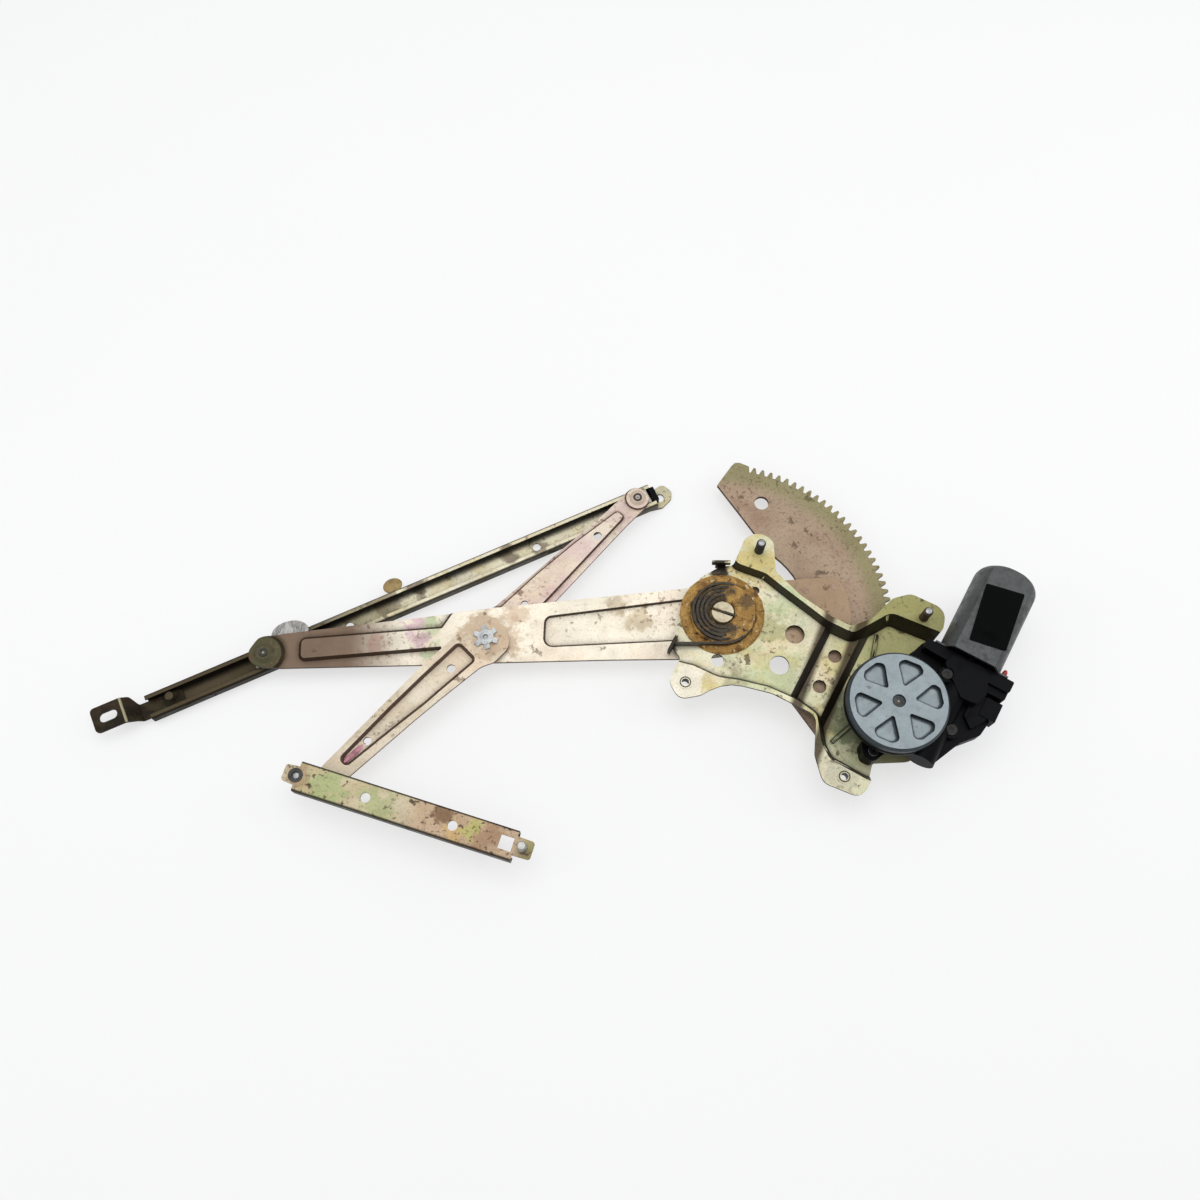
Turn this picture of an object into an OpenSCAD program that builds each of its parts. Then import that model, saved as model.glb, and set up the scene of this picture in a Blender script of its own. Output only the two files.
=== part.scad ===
// Power window regulator: a lift arm with a toothed sector, two crossing arms, a lift rail,
// a lower guide rail, a stamped base plate with a counterbalance spring, and a geared motor.
// Millimetres. Plan view in X and Y, +Z towards the door's inner panel. The linkage is drawn
// round its main pivot, and the whole part is then moved so that its origin lies at the foot
// of the upper stud, on the plate's mounting face.

/* [Linkage] */
// Main pivot to cross pivot
pivot_to_cross = 164.5; // [150:0.5:180]
// Cross pivot to each guide pin of the lift rail
cross_to_guide = 153.2; // [140:0.1:165]
// Cross pivot to the guide pin of the lower rail
cross_to_lower = 147; // [130:0.5:160]
// Direction of the lift arm, from main pivot to cross pivot
lift_angle = 185.9; // [180:0.1:192]
// Bend of the lift arm at the cross pivot
lift_bend = 1.9; // [0:0.1:4]
// Direction of the upper cross arm
upper_angle = 46.1; // [40:0.1:50]
// Direction of the lower cross arm
lower_angle = 224.6; // [220:0.1:230]
// Sheet thickness of the lift arm
arm_t = 2.5; // [2:0.1:3]
// Sheet thickness of the cross arms
cross_t = 2.1; // [1.8:0.1:2.2]
// Step down of the lift arm's outer half
arm_drop = 2; // [1:0.1:2.5]
// Depth of the forms pressed into the right half of the lift arm and the upper cross arm
bead_h = 1.2; // [0.6:0.1:1.3]
// Depth of the channel pressed into the lower cross arm
channel_d = 1.6; // [1:0.1:1.8]
// Half width of the lift arm at the main pivot
lift_root_w = 25; // [20:0.5:27]
// Half width of the lift arm at its guide pin
lift_tip_w = 9.6; // [8:0.1:11]
// Radius of the lift arm's tail, where it laps the sector
tail_r = 90; // [84:0.5:96]
// Half width of the cross arms at their hub
cross_root_w = 14.2; // [12:0.1:16]
// Half width of the cross arms at their guide pins
cross_tip_w = 8.6; // [7:0.1:10]
// Pivot holes punched for tooling in the cross arms
arm_hole_d = 6; // [4:0.1:7]

/* [Base plate] */
// Sheet thickness of the base plate
plate_t = 2; // [1.6:0.1:2.4]
// Depth of the floor that carries the spring
spring_floor = 6; // [5:0.1:7]
// Depth of the floor that clears the lift arm's tail
tail_floor = 8.6; // [8:0.1:10]
// Radius of the open edge round the main pivot
plate_open_r = 31; // [30:0.5:34]
// Place of the upper stud from the main pivot
upper_stud_at = [26.9, 45.9];
// Place of the right stud
right_stud_at = [138.1, -4.2];
// Place of the left weld nut
left_nut_at = [-27.3, -50.9];
// Place of the low weld nut
low_nut_at = [75.6, -115.5];
// Thread diameter of the studs
stud_d = 6; // [5:0.5:8]
// Length of the studs above the mounting face
stud_len = 13; // [10:0.5:20]
// Tapping diameter of the weld nuts
nut_tap_d = 5; // [4:0.1:6.5]
// Collar diameter of the weld nuts
nut_collar_d = 9.8; // [8.5:0.1:12]
// Diameter of the two large holes by the spring
large_hole_d = 13.6; // [10:0.1:15]
// Diameter of the two holes over the lift arm's tail
tail_hole_d = 9.4; // [7:0.1:11]

/* [Pivots] */
// Diameter of the main pivot pin
pivot_d = 12; // [10:0.1:14]
// Diameter of the main pivot's slotted head
pivot_head_d = 15; // [14:0.1:16.5]
// Diameter of the cross pivot's shank
cross_pin_d = 10; // [8:0.1:12]
// Diameter of the guide pins
guide_pin_d = 8; // [6:0.1:9]
// Running clearance of every pivot, on the radius
run_fit = 0.05; // [0.02:0.01:0.1]

/* [Counterbalance spring] */
// Outer radius of the wound spring
spring_r = 23.6; // [20:0.1:25]
// Radius of its innermost turn
spring_in_r = 10; // [9.5:0.1:11]
// Number of turns
spring_turns = 4; // [3:0.5:5]
// Thickness of the strip
strip_t = 1.6; // [1:0.1:1.8]
// Width of the strip
strip_w = 4.4; // [4:0.1:5.5]
// Radius of the sliding disc under the spring
disc_r = 29.3; // [27:0.1:30]

/* [Gears] */
// Module of the sector and the pinion
gear_m = 2; // [1.8:0.05:2.1]
// Teeth of the full circle that the sector is cut from
sector_z = 120; // [120:1:120]
// Teeth of the pinion
pinion_z = 10; // [10:1:10]
// Profile shift of the pinion, taken off the sector
shift = 0.41; // [0.38:0.01:0.45]
// Play between meshing flanks
backlash = 0.2; // [0.1:0.02:0.4]
// Thickness of the sector
sector_t = 3; // [2.5:0.1:3.5]
// Direction of the first tooth of the sector
first_tooth = 76.15; // [70:0.05:80]
// Number of teeth cut on the sector
teeth_cut = 43; // [38:1:43]
// Inner radius of the sector's rim
sector_in_r = 62; // [58:0.5:70]
// Direction of the motor's output from the main pivot
mesh_angle = -32.9; // [-36:0.1:-30]

/* [Lift rail] */
// Outer width of the lift rail
rail_w = 18.5; // [17:0.1:20]
// Height of the lift rail
rail_h = 8.5; // [7.5:0.1:10]
// Sheet thickness of both rails
rail_t = 1.5; // [1.2:0.1:1.8]
// Width of the rolled-in lips, measured from the outside
lip_w = 3.6; // [3:0.1:4]
// Reach of the lift rail beyond the lift arm's guide pin
rail_tail = 86; // [70:1:95]
// Reach of the lift rail beyond the upper arm's guide pin
rail_head = 12.5; // [12:0.1:16]

/* [Lower rail] */
// Outer width of the lower rail
low_rail_w = 20.5; // [19:0.1:22]
// Height of the lower rail
low_rail_h = 12; // [10:0.1:12.4]
// Direction of the lower rail
low_rail_angle = -17.6; // [-25:0.1:-10]
// Reach of the lower rail on the nut side of its guide pin
low_rail_tail = 25; // [24:0.5:30]
// Reach of the lower rail on the stud side
low_rail_head = 147; // [140:0.5:155]

/* [Guides] */
// Length of a guide block
guide_len = 18; // [16:0.1:19]
// Play of the guides in their channel, each side
guide_play = 0.25; // [0.15:0.05:0.4]
// Counterbore of the guides for the pin's head
guide_head_d = 11.4; // [10:0.1:12.5]

/* [Motor] */
// Direction of the motor's armature
motor_angle = 60.3; // [57:0.1:63]
// Distance from the output shaft to the armature's axis
worm_offset = 30.8; // [30:0.1:31.5]
// Height of the armature's axis over the mounting face
worm_z = 7; // [6:0.1:8]
// Radius of the gear cover
cover_r = 33.6; // [32:0.1:34.5]
// Height of the gear cover's top over the mounting face
cover_top = 24; // [22:0.1:26]
// Diameter of the motor can
can_d = 43; // [41:0.1:44]
// Distance between the can's two flats
can_flat = 32; // [30:0.1:34]
// Distance from the output shaft to the can's open end
can_start = 53; // [52:0.5:58]
// Length of the can
can_len = 71; // [60:1:75]
// Wall of the can
can_wall = 1.6; // [1.2:0.1:2]
// Diameter of the armature shaft
shaft_d = 6; // [5:0.1:7]
// Diameter of the output shaft
output_d = 10; // [9:0.1:12]

/* [Hidden] */
$fn = 64;
small = 0.02;
over = 1;
sunk = 0.3;
arc_step = 18;
clinch = 0.6;
face_gap = 0.3;

// Heights: every level follows from the mounting face at zero and the sheet thicknesses.
tail_gap = 0.4;
rail_gap = 1;
arm_top = -(tail_floor + plate_t + tail_gap);
arm_low = arm_top - arm_t;
sector_top = arm_low;
sector_low = sector_top - sector_t;
sector_gap = 0.5;
motor_floor = -sector_top - plate_t - sector_gap;
cross_gap = 0.5;
upper_top = arm_low - cross_gap;
upper_low = upper_top - bead_h - cross_t;
lower_top = arm_top + face_gap + cross_t + channel_d;
low_rail_low = -low_rail_h;
lower_far = low_rail_low - rail_gap;
rail_top = upper_low - rail_gap;
rail_low = rail_top - rail_h;

// Places in plan, round the main pivot.
function dir(a) = [cos(a), sin(a)];
cross_at = pivot_to_cross * dir(lift_angle);
guide_angle = lift_angle - lift_bend;
lift_guide_at = cross_at + cross_to_guide * dir(guide_angle);
upper_guide_at = cross_at + cross_to_guide * dir(upper_angle);
lower_guide_at = cross_at + cross_to_lower * dir(lower_angle);
rail_angle = (guide_angle + upper_angle) / 2 - 90;
rail_span = 2 * cross_to_guide * sin((guide_angle - upper_angle) / 2);
sector_r = gear_m * sector_z / 2;
pinion_r = gear_m * pinion_z / 2;
motor_at = (sector_r + pinion_r) * dir(mesh_angle);

// ---- Outlines with rounded corners -------------------------------------------------------
// A corner is [x, y, radius], listed anticlockwise. grow moves the whole outline outwards.
function unit(v) = v / norm(v);
function xy(c) = [c[0], c[1]];
function right_of(v) = [v[1], -v[0]];
function turn(a, b) = atan2(a[0] * b[1] - a[1] * b[0], a[0] * b[0] + a[1] * b[1]);
function corner_arc(before, here, after, grow) =
    let (n1 = right_of(unit(xy(here) - xy(before))), n2 = right_of(unit(xy(after) - xy(here))),
         bend = turn(n1, n2), side = bend < 0 ? -1 : 1, miter = (n1 + n2) / (1 + n1 * n2),
         centre = xy(here) - side * here[2] * miter, start = atan2(n1[1], n1[0]),
         steps = abs(bend) < 9 || here[2] == 0 ? 0 : ceil(abs(bend) / arc_step))
    steps == 0 ? [xy(here) + grow * miter] :
        [for (k = [0:steps]) centre + (side * here[2] + grow) * dir(start + bend * k / steps)];
function outline(corners, grow = 0) =
    let (n = len(corners))
    [for (i = [0:n - 1]) each corner_arc(corners[(i + n - 1) % n], corners[i], corners[(i + 1) % n], grow)];

// A flat sheet with that outline, from height low to height high.
module sheet(corners, low, high, grow = 0) {
    translate([0, 0, low]) linear_extrude(high - low) polygon(outline(corners, grow));
}

// A pressed form whose outline grows from low_grow at its lower end to high_grow at its upper end.
module pressed(corners, low, high, low_grow, high_grow) {
    n = len(outline(corners));
    points = [for (p = outline(corners, low_grow)) [p[0], p[1], low],
              for (p = outline(corners, high_grow)) [p[0], p[1], high]];
    sides = [for (i = [0:n - 1]) [i, n + i, n + (i + 1) % n, (i + 1) % n]];
    polyhedron(points, [[for (i = [0:n - 1]) i], [for (i = [n - 1:-1:0]) n + i], each sides]);
}

module at(place, angle = 0, z = 0) {
    translate([place[0], place[1], z]) rotate([0, 0, angle]) children();
}

module rod(d, low, high) {
    translate([0, 0, low]) cylinder(d = d, h = high - low);
}

module hole(d, place = [0, 0]) {
    at(place) rod(d, -60, 60);
}

// Moves a sub-part from the linkage's own plan to the part's origin.
module placed() {
    translate([-upper_stud_at[0], -upper_stud_at[1], 0]) children();
}

// ---- Base plate --------------------------------------------------------------------------
rib_angle = -28.7;
wall_slope = 0.5;
step_run = 5;
tail_step = 69.4;
motor_step = 93.8;
plate_rim = [[-12, 29, 8], [0, 36, 3], [9.5, 37, 2], [13, 45, 3], [17, 54.5, 5], [27, 60.5, 10],
    [37.5, 53.5, 7], [38, 30, 5], [54, 12.5, 12], [75, -3.5, 6], [88, -10.5, 5], [103, -4.5, 8],
    [118, 10, 9], [131, 13.5, 9], [154.5, 1.5, 10], [151, -12, 5], [143, -22, 2], [146, -42, 6],
    [151, -64, 8], [143, -89, 8], [122, -103, 8], [97.5, -104, 3], [94, -116.3, 2], [86.5, -130, 8],
    [61.5, -119.5, 8], [57, -101, 12], [59.8, -74, 8], [31, -58.5, 14], [0, -50.5, 30],
    [-17, -60, 8], [-32, -63, 8], [-38.5, -50, 8], [-29.5, -32, 4], [-36, -23, 2], [-30, -3, 9],
    [-23, 20, 12]];
spring_pan = [[-60, 60, 6], [-60, -26, 6], [-20, -36.5, 9], [-4, -44.5, 20], [10, -46.5, 20],
    [30, -51.5, 12], [49, -60.5, 12], [63, -71.5, 9], [65, -92, 10], [69, -101.5, 6], [92, -115, 6],
    [190, -140, 6], [190, -36, 6], [116, -3.6, 6], [105, -10, 9], [89, -18.8, 9], [70.4, -9.1, 12],
    [40, 16.6, 14], [29.5, 26, 9], [9, 34, 8], [-1, 60, 6]];
module floor_line(extra) {
    // Everything above the stepped floor, seen along the steps.
    back = -extra / 4;
    rotate([0, 0, rib_angle]) rotate([90, 0, 0]) translate([0, 0, -225]) linear_extrude(450)
        polygon([[-80, -spring_floor - extra], [tail_step - step_run / 2 + back, -spring_floor - extra],
            [tail_step + step_run / 2 + back, -tail_floor - extra],
            [motor_step - step_run / 2 + back, -tail_floor - extra],
            [motor_step + step_run / 2 + back, -motor_floor - extra],
            [300, -motor_floor - extra], [300, 3 * over], [-80, 3 * over]]);
}
module plate_form(extra) {
    // The pressed-out space: extra moves every face out by the sheet thickness.
    low = -motor_floor - extra - over;
    out = extra * sqrt(1 + wall_slope * wall_slope);
    intersection() {
        pressed(spring_pan, low, over, wall_slope * (low + spring_floor) + out,
            wall_slope * (over + spring_floor) + out);
        floor_line(extra);
    }
}
module base_plate() {
    color("darkkhaki") placed() difference() {
        union() {
            difference() {
                intersection() {
                    sheet(plate_rim, -motor_floor - plate_t, 0);
                    union() {
                        translate([-80, -180, -plate_t]) cube([300, 300, plate_t]);
                        plate_form(plate_t);
                    }
                }
                plate_form(0);
            }
            for (rib = [[[105.5, -22, 0], 76], [[78, -84, 0], 40]])
                at(rib[0], rib[1], -motor_floor - 0.2) rotate([0, 90, 0]) rod(3.2, -9, 9);
            // Hook tabs of the spring, bent up from the open edge
            at([-35, -23], 62, -spring_floor - plate_t) translate([-6, -plate_t / 2, 0])
                cube([12, plate_t, spring_floor + plate_t + 2]);
            at([0, 36.5], 0, -spring_floor - plate_t) {
                translate([-3.5, -plate_t / 2, 0]) cube([7, plate_t, spring_floor + plate_t + 2]);
                translate([-6.4, -plate_t / 2, spring_floor + plate_t - 2]) cube([12.8, plate_t, 4]);
            }
        }
        hole(pivot_d + 5);
        hole(stud_d + clinch, upper_stud_at);
        hole(stud_d + clinch, right_stud_at);
        hole(nut_collar_d, left_nut_at);
        hole(nut_collar_d, low_nut_at);
        // Room for the nuts and the stud's head beside the pressed walls
        for (place = [left_nut_at, low_nut_at]) at(place) rod(nut_collar_d + 2.6, -9, -plate_t - small);
        at(right_stud_at) rod(stud_d + 3.4, -9, -plate_t - small);
        hole(large_hole_d, [49.7, -14.5]);
        hole(large_hole_d, [37.9, -36.8]);
        hole(tail_hole_d, [76.9, -29.6]);
        hole(tail_hole_d, [65, -51.3]);
        hole(5.6, [24, 18]);
        hole(9, [-4.4, -33.5]);
        hole(2 * pinion_r + 8, motor_at);
        at(motor_at, motor_angle) for (place = screw_places) hole(screw_hole_d, place);
    }
}

module stud(length, foot) {
    // A clinched stud: its head lies under the sheet, its collar fills the hole, its shank stands proud.
    rod(stud_d, -small, length - 0.8);
    translate([0, 0, length - 0.8]) cylinder(d1 = stud_d, d2 = stud_d - 1.4, h = 0.8);
    rod(stud_d + clinch, -foot - small, 0);
    rod(stud_d + 3, -foot - 1.6, -foot);
}
module upper_stud() { color("silver") placed() at(upper_stud_at) stud(stud_len, plate_t); }
module right_stud() { color("silver") placed() at(right_stud_at) stud(stud_len, plate_t); }
module weld_nut(foot) {
    difference() {
        union() {
            rod(nut_collar_d, -foot, 0.3);
            translate([0, 0, -foot - 5]) cylinder(d = nut_collar_d + 2.2, h = 5, $fn = 6);
        }
        rod(nut_tap_d, -foot - 6, 2);
    }
}
module plate_weld_nuts() {
    color("silver") placed() for (place = [left_nut_at, low_nut_at]) at(place) weld_nut(plate_t);
}

// ---- Main pivot and spring ---------------------------------------------------------------
floor_low = -spring_floor - plate_t;
disc_t = 1;
bush_d = pivot_d + 5;
pin_head_h = 4;
head_low = disc_t - spring_floor + face_gap;
module ring(outer, inner, low, high) {
    difference() {
        rod(outer, low, high);
        rod(inner, low - over, high + over);
    }
}
module pivot_bush() {
    color("tan") placed() difference() {
        union() {
            rod(bush_d, floor_low - small, -spring_floor);
            rod(bush_d + 8, arm_top + face_gap, floor_low);
        }
        rod(pivot_d + 2 * run_fit, -30, 5);
    }
}
module main_pivot_pin() {
    slot_w = strip_t + 0.6;
    color("silver") placed() difference() {
        union() {
            rod(pivot_d, arm_low - 2, head_low + small);
            rod(pivot_head_d, head_low, head_low + pin_head_h);
            translate([0, 0, arm_low - 2]) cylinder(d1 = pivot_d + 3, d2 = pivot_d + 6, h = 2);
        }
        rotate([0, 0, -20]) translate([-12, -slot_w / 2, head_low - 0.1]) cube([24, slot_w, 10]);
    }
}
module sliding_disc() {
    color("peru") placed() difference() {
        rod(2 * disc_r, -spring_floor, -spring_floor + disc_t);
        rod(bush_d, -10, 5);
    }
}
spiral_steps = 24;
spring_start = -20;
spring_sweep = 360 * spring_turns + 70;
function spiral(side) = [for (k = [0:spiral_steps * spring_turns + 4])
    let (share = k / (spiral_steps * spring_turns + 4))
    (spring_in_r + (spring_r - strip_t - spring_in_r) * share + side * strip_t) * dir(spring_start - spring_sweep * share)];
module counterbalance_spring() {
    hook_gap = 33.6;
    color("dimgray") placed() translate([0, 0, head_low]) linear_extrude(strip_w)
        polygon([[0.5, -0.8], each spiral(0), [-hook_gap, -spring_r + strip_t], [-hook_gap, -spring_r],
            each [for (k = [len(spiral(1)) - 1:-1:0]) spiral(1)[k]],
                (spring_in_r + strip_t) * dir(spring_start + 5), [1, 0.8]]);
}

// ---- Lift arm and sector, drawn from the main pivot along the lift arm --------------------
function in_lift_arm(p) = let (a = -lift_angle) [p[0] * cos(a) - p[1] * sin(a),
    p[0] * sin(a) + p[1] * cos(a)];
far_hub = in_lift_arm(lift_guide_at);
joggle_at = pivot_to_cross + 20;
lift_rim = [[-tail_r + 4, -lift_root_w + 3, 8], [0, -lift_root_w + 1, 60], [joggle_at - 20,
    -lift_root_w + 2.4, 40],
    [far_hub[0] - 26, far_hub[1] - lift_tip_w - 4.6, 30], [far_hub[0] + 3, far_hub[1] - lift_tip_w - 3.4,
        10],
    [far_hub[0] + lift_tip_w + 1, far_hub[1] - 3, 8], [far_hub[0] + lift_tip_w + 1, far_hub[1] + 5, 8],
    [far_hub[0] + 2, far_hub[1] + lift_tip_w + 0.4, 10], [pivot_to_cross, 17, 60], [80, 23.4, 60],
    [18, 29, 40], [-tail_r + 8, lift_root_w + 1, 8], [-tail_r - 1, 12, 20], [-tail_r - 1, -8, 20]];
lift_raised = [[-140, -60, 5], [157, -60, 5], [195.2, -10.2, 1.5], [196, 3, 1.5], [142, 60, 5], [-140, 60,
    5]];
lift_tongue = [[170, -10.9, 1.5], [far_hub[0] - 26, far_hub[1] - 7.7, 3], [far_hub[0] - 25,
    far_hub[1] + 6, 3], [170, 2.2, 1.5]];
lift_dish = [[20, -15.6, 5], [pivot_to_cross - 42, -12.4, 5], [pivot_to_cross - 39, 9.4, 6], [20, 14.6, 5]];
module in_lift_arm_frame() {
    placed() rotate([0, 0, lift_angle]) children();
}
module side_view(points) {
    // A long section, drawn in X and height, across the whole width.
    rotate([90, 0, 0]) translate([0, 0, -250]) linear_extrude(500) polygon(points);
}
module lift_arm() {
    far_z = arm_top - arm_drop;
    inner = arm_t * (sqrt(2) - 1);
    hub_r = lift_tip_w + 2.4;
    color("goldenrod") in_lift_arm_frame() difference() {
        intersection() {
            sheet(lift_rim, -40, arm_top);
            union() {
                translate([-150, -80, far_z - arm_t]) cube([550, 160, arm_t]);
                pressed(lift_raised, far_z - sunk, arm_top + sunk, arm_drop + sunk, -sunk);
                pressed(lift_tongue, far_z - sunk, arm_top + sunk, arm_drop + sunk, -sunk);
                at(far_hub, 0, far_z - sunk)
                    cylinder(r1 = hub_r + arm_drop + sunk, r2 = hub_r - sunk, h = arm_drop + 2 * sunk);
            }
        }
        pressed(lift_raised, far_z - arm_t - over, arm_low, arm_drop + over - inner, -inner);
        pressed(lift_tongue, far_z - arm_t - over, arm_low, arm_drop + over - inner, -inner);
        at(far_hub, 0, far_z - arm_t - over) cylinder(r1 = hub_r + arm_drop + over - inner,
            r2 = hub_r - inner, h = arm_drop + over);
        pressed(lift_dish, arm_top - bead_h, arm_top + 0.2, -0.8, 0.8);
        hole(pivot_d);
        hole(cross_pin_d + 4, [pivot_to_cross, 0]);
        hole(guide_pin_d, far_hub);
        for (place = rivet_places) hole(rivet_d, place);
    }
}
rivet_d = 5.2;
rivet_places = [[-83, -14.6], [-62, -14], [-62, 18], [-83, 18]];

press_angle = 20;
function involute(a) = tan(a) * 180 / PI - a;
function half_tooth(teeth, x, r) =
    let (pitch = gear_m * teeth / 2, base = pitch * cos(press_angle), a = r <= base ? 0 : acos(base / r))
    (PI / 2 + 2 * x * tan(press_angle) - backlash / 4 / gear_m * 2) / teeth * 180 / PI + involute(press_angle) - involute(a);
function tooth(teeth, x, root, tip, centre, steps) =
    let (base = max(root, gear_m * teeth / 2 * cos(press_angle)),
        radii = [for (k = [0:steps]) base + (tip - base) * k / steps],
         low = half_tooth(teeth, x, base))
    [if (root < base) root * dir(centre - low), for (r = radii) r * dir(centre - half_tooth(teeth, x, r)),
     for (k = [steps:-1:0]) radii[k] * dir(centre + half_tooth(teeth, x, radii[k])),
     if (root < base) root * dir(centre + low)];
sector_root = sector_r - (1.09 + shift) * gear_m;
sector_tip = sector_r + (1 - shift) * gear_m;
pinion_root = pinion_r - (1.25 - shift) * gear_m;
pinion_tip = sector_r + pinion_r - sector_root - 0.5;
module sector_gear() {
    first = first_tooth;
    last = first_tooth - 3 * (teeth_cut - 1);
    teeth = [for (k = [teeth_cut - 1:-1:0])
        each tooth(sector_z, -shift, sector_root, sector_tip, first - k * 360 / sector_z, 3)];
    color("darkkhaki") placed() difference() {
        translate([0, 0, sector_low]) linear_extrude(sector_t) difference() {
            polygon([each teeth, sector_root * dir(first + 1.6), (sector_tip + 0.4) * dir(first + 2), [18,
                122.2],
                [14.5, 122], [12, 119.5], [1, 103.8],
                [15.3, 82.5], [26.5, 65.4], [39, 51.8],
                for (a = [50:-6:last - 4]) sector_in_r * dir(a),
                (sector_root - 6) * dir(last - 4), (sector_root - 1) * dir(last - 3)]);
            translate([32.7, 89.4]) circle(5.2);
        }
        rotate([0, 0, lift_angle]) for (place = rivet_places) hole(rivet_d, place);
    }
}
module sector_rivets() {
    color("darkkhaki") in_lift_arm_frame() for (place = rivet_places) at(place) rod(rivet_d,
        sector_low - 0.6, arm_top + 0.2);
}
module lift_arm_guide_pin() {
    color("silver") in_lift_arm_frame() at(far_hub) {
        rod(guide_pin_d, guide_pin_low, arm_top + small);
        translate([0, 0, arm_top]) cylinder(d1 = guide_pin_d + 6.4, d2 = guide_pin_d + 1, h = 2);
        rod(guide_head_d - 0.8, guide_pin_low, guide_pin_low + 1.4);
    }
}
module cross_bush() {
    color("tan") in_lift_arm_frame() at([pivot_to_cross, 0])
        ring(cross_pin_d + 4, cross_pin_d + 2 * run_fit, arm_low - 0.1, arm_top + 0.1);
}

// ---- Cross arms, each drawn from the cross pivot along itself -----------------------------
module in_cross_frame(angle) {
    placed() at(cross_at, angle) children();
}
lower_rim = [[-15, 4, 8], [-15, -6, 8], [-6, -cross_root_w - 1.8, 10], [20, -cross_root_w - 1.2, 20],
    [42, -cross_root_w - 1.4, 20], [cross_to_lower - 8, -cross_tip_w - 3, 10],
    [cross_to_lower + cross_tip_w + 1, -cross_tip_w + 1, 5], [cross_to_lower + cross_tip_w + 1, 4, 5],
    [cross_to_lower - 6, cross_tip_w - 2.4, 12], [75, 9.2, 60], [17, 13.2, 12], [8, cross_root_w + 3, 8],
        [-8, cross_root_w + 2.4, 10]];
lower_channel = [[17, -9, 2], [80, -7.9, 3], [cross_to_lower - 21, -5.8, 1.7], [cross_to_lower - 21, -1.4,
    1.7],
    [88, 1.6, 3], [60, 4.2, 3], [17, 5.6, 2]];
channel_slope = 1.3;
module lower_form() {
    // The arm while flat, with its flange's face at zero.
    out = cross_t * sqrt(1 + channel_slope * channel_slope);
    difference() {
        intersection() {
            sheet(lower_rim, -20, 5);
            union() {
                translate([-60, -60, -cross_t]) cube([300, 120, cross_t]);
                pressed(lower_channel, -channel_d - cross_t, -cross_t / 2, out - channel_slope * cross_t,
                    out + channel_slope * (channel_d - cross_t / 2));
            }
        }
        pressed(lower_channel, -channel_d, over, 0, channel_slope * (channel_d + over));
    }
}
kink_at = 50;
lower_pitch = atan((lower_top - lower_far) / (cross_to_lower - guide_len / 2 - 1 - kink_at));
module lower_cross_arm() {
    color("goldenrod") in_cross_frame(lower_angle) difference() {
        union() {
            translate([0, 0, lower_top]) intersection() {
                lower_form();
                translate([-100, -50, -30]) cube([100.3 + kink_at, 100, 60]);
            }
            translate([kink_at, 0, lower_top]) rotate([0, lower_pitch, 0]) intersection() {
                translate([-kink_at, 0, 0]) lower_form();
                translate([0.1, -50, -30]) cube([200, 100, 60]);
            }
        }
        hole(cross_pin_d);
        hole(guide_pin_d, [cross_to_lower, 0]);
        hole(arm_hole_d, [32, -0.5]);
        hole(arm_hole_d - 0.4, [cross_to_lower - 41, -3.2]);
    }
}
upper_rim = [[-15, 6, 9], [-15, -6, 9], [-6, -cross_root_w - 1.8, 10], [14, -cross_root_w - 1.2, 20],
    [cross_to_guide - 20, -cross_tip_w - 0.4, 60], [cross_to_guide + cross_tip_w - 1.4,
        -cross_tip_w - 0.4, 8],
    [cross_to_guide + cross_tip_w - 1.4, cross_tip_w + 0.6, 8], [cross_to_guide - 24, cross_tip_w + 0.4,
        60],
    [14, cross_root_w + 0.6, 20], [-6, cross_root_w + 2, 10]];
upper_raised = [[-60, -30, 3], [16, -30, 3], [42, -8.2, 1.5], [6, 30, 3], [-60, 30, 3]];
upper_tongue = [[24, -9.4, 1.5], [cross_to_guide - 18, -3, 2.4], [cross_to_guide - 18, 3, 2.4], [96, 7.6,
    3],
    [60, 10, 3], [20, 10.6, 1.5]];
module upper_cross_arm() {
    flange = upper_top - bead_h;
    inner = cross_t * (sqrt(2) - 1);
    color("goldenrod") in_cross_frame(upper_angle) difference() {
        intersection() {
            sheet(upper_rim, -40, upper_top);
            union() {
                translate([-60, -60, upper_low]) cube([300, 120, cross_t]);
                pressed(upper_raised, flange - sunk, upper_top + sunk, bead_h + sunk, -sunk);
                pressed(upper_tongue, flange - sunk, upper_top + sunk, bead_h + sunk, -sunk);
                at([cross_to_guide, 0], 0, flange - sunk)
                    cylinder(r1 = cross_tip_w + 0.6 + sunk, r2 = cross_tip_w - 0.4, h = 1 + sunk);
            }
        }
        pressed(upper_raised, upper_low - over, upper_top - cross_t, bead_h + over - inner, -inner);
        pressed(upper_tongue, upper_low - over, upper_top - cross_t, bead_h + over - inner, -inner);
        hole(cross_pin_d);
        hole(guide_pin_d, [cross_to_guide, 0]);
        hole(arm_hole_d, [cross_to_guide - 42, 0]);
        hole(arm_hole_d - 0.6, [37.6, 0.3]);
    }
}
module cross_rivet() {
    star_r = 8.7;
    color("silver") placed() at(cross_at) difference() {
        union() {
            rod(cross_pin_d, upper_top - cross_t - 1.4, lower_top + small);
            rod(2 * star_r - 6.6, lower_top - small, lower_top + 1.5);
            for (k = [0:5]) rotate([0, 0, 40 + 60 * k]) translate([0, -1.9, lower_top]) cube([star_r, 3.8,
                1.3]);
            rod(18, upper_top - cross_t - 1.4, upper_top - cross_t);
            rod(2 * star_r + 6, arm_top + face_gap, lower_top - cross_t);
        }
        rod(3.8, lower_top + 0.4, 10);
    }
}
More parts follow.
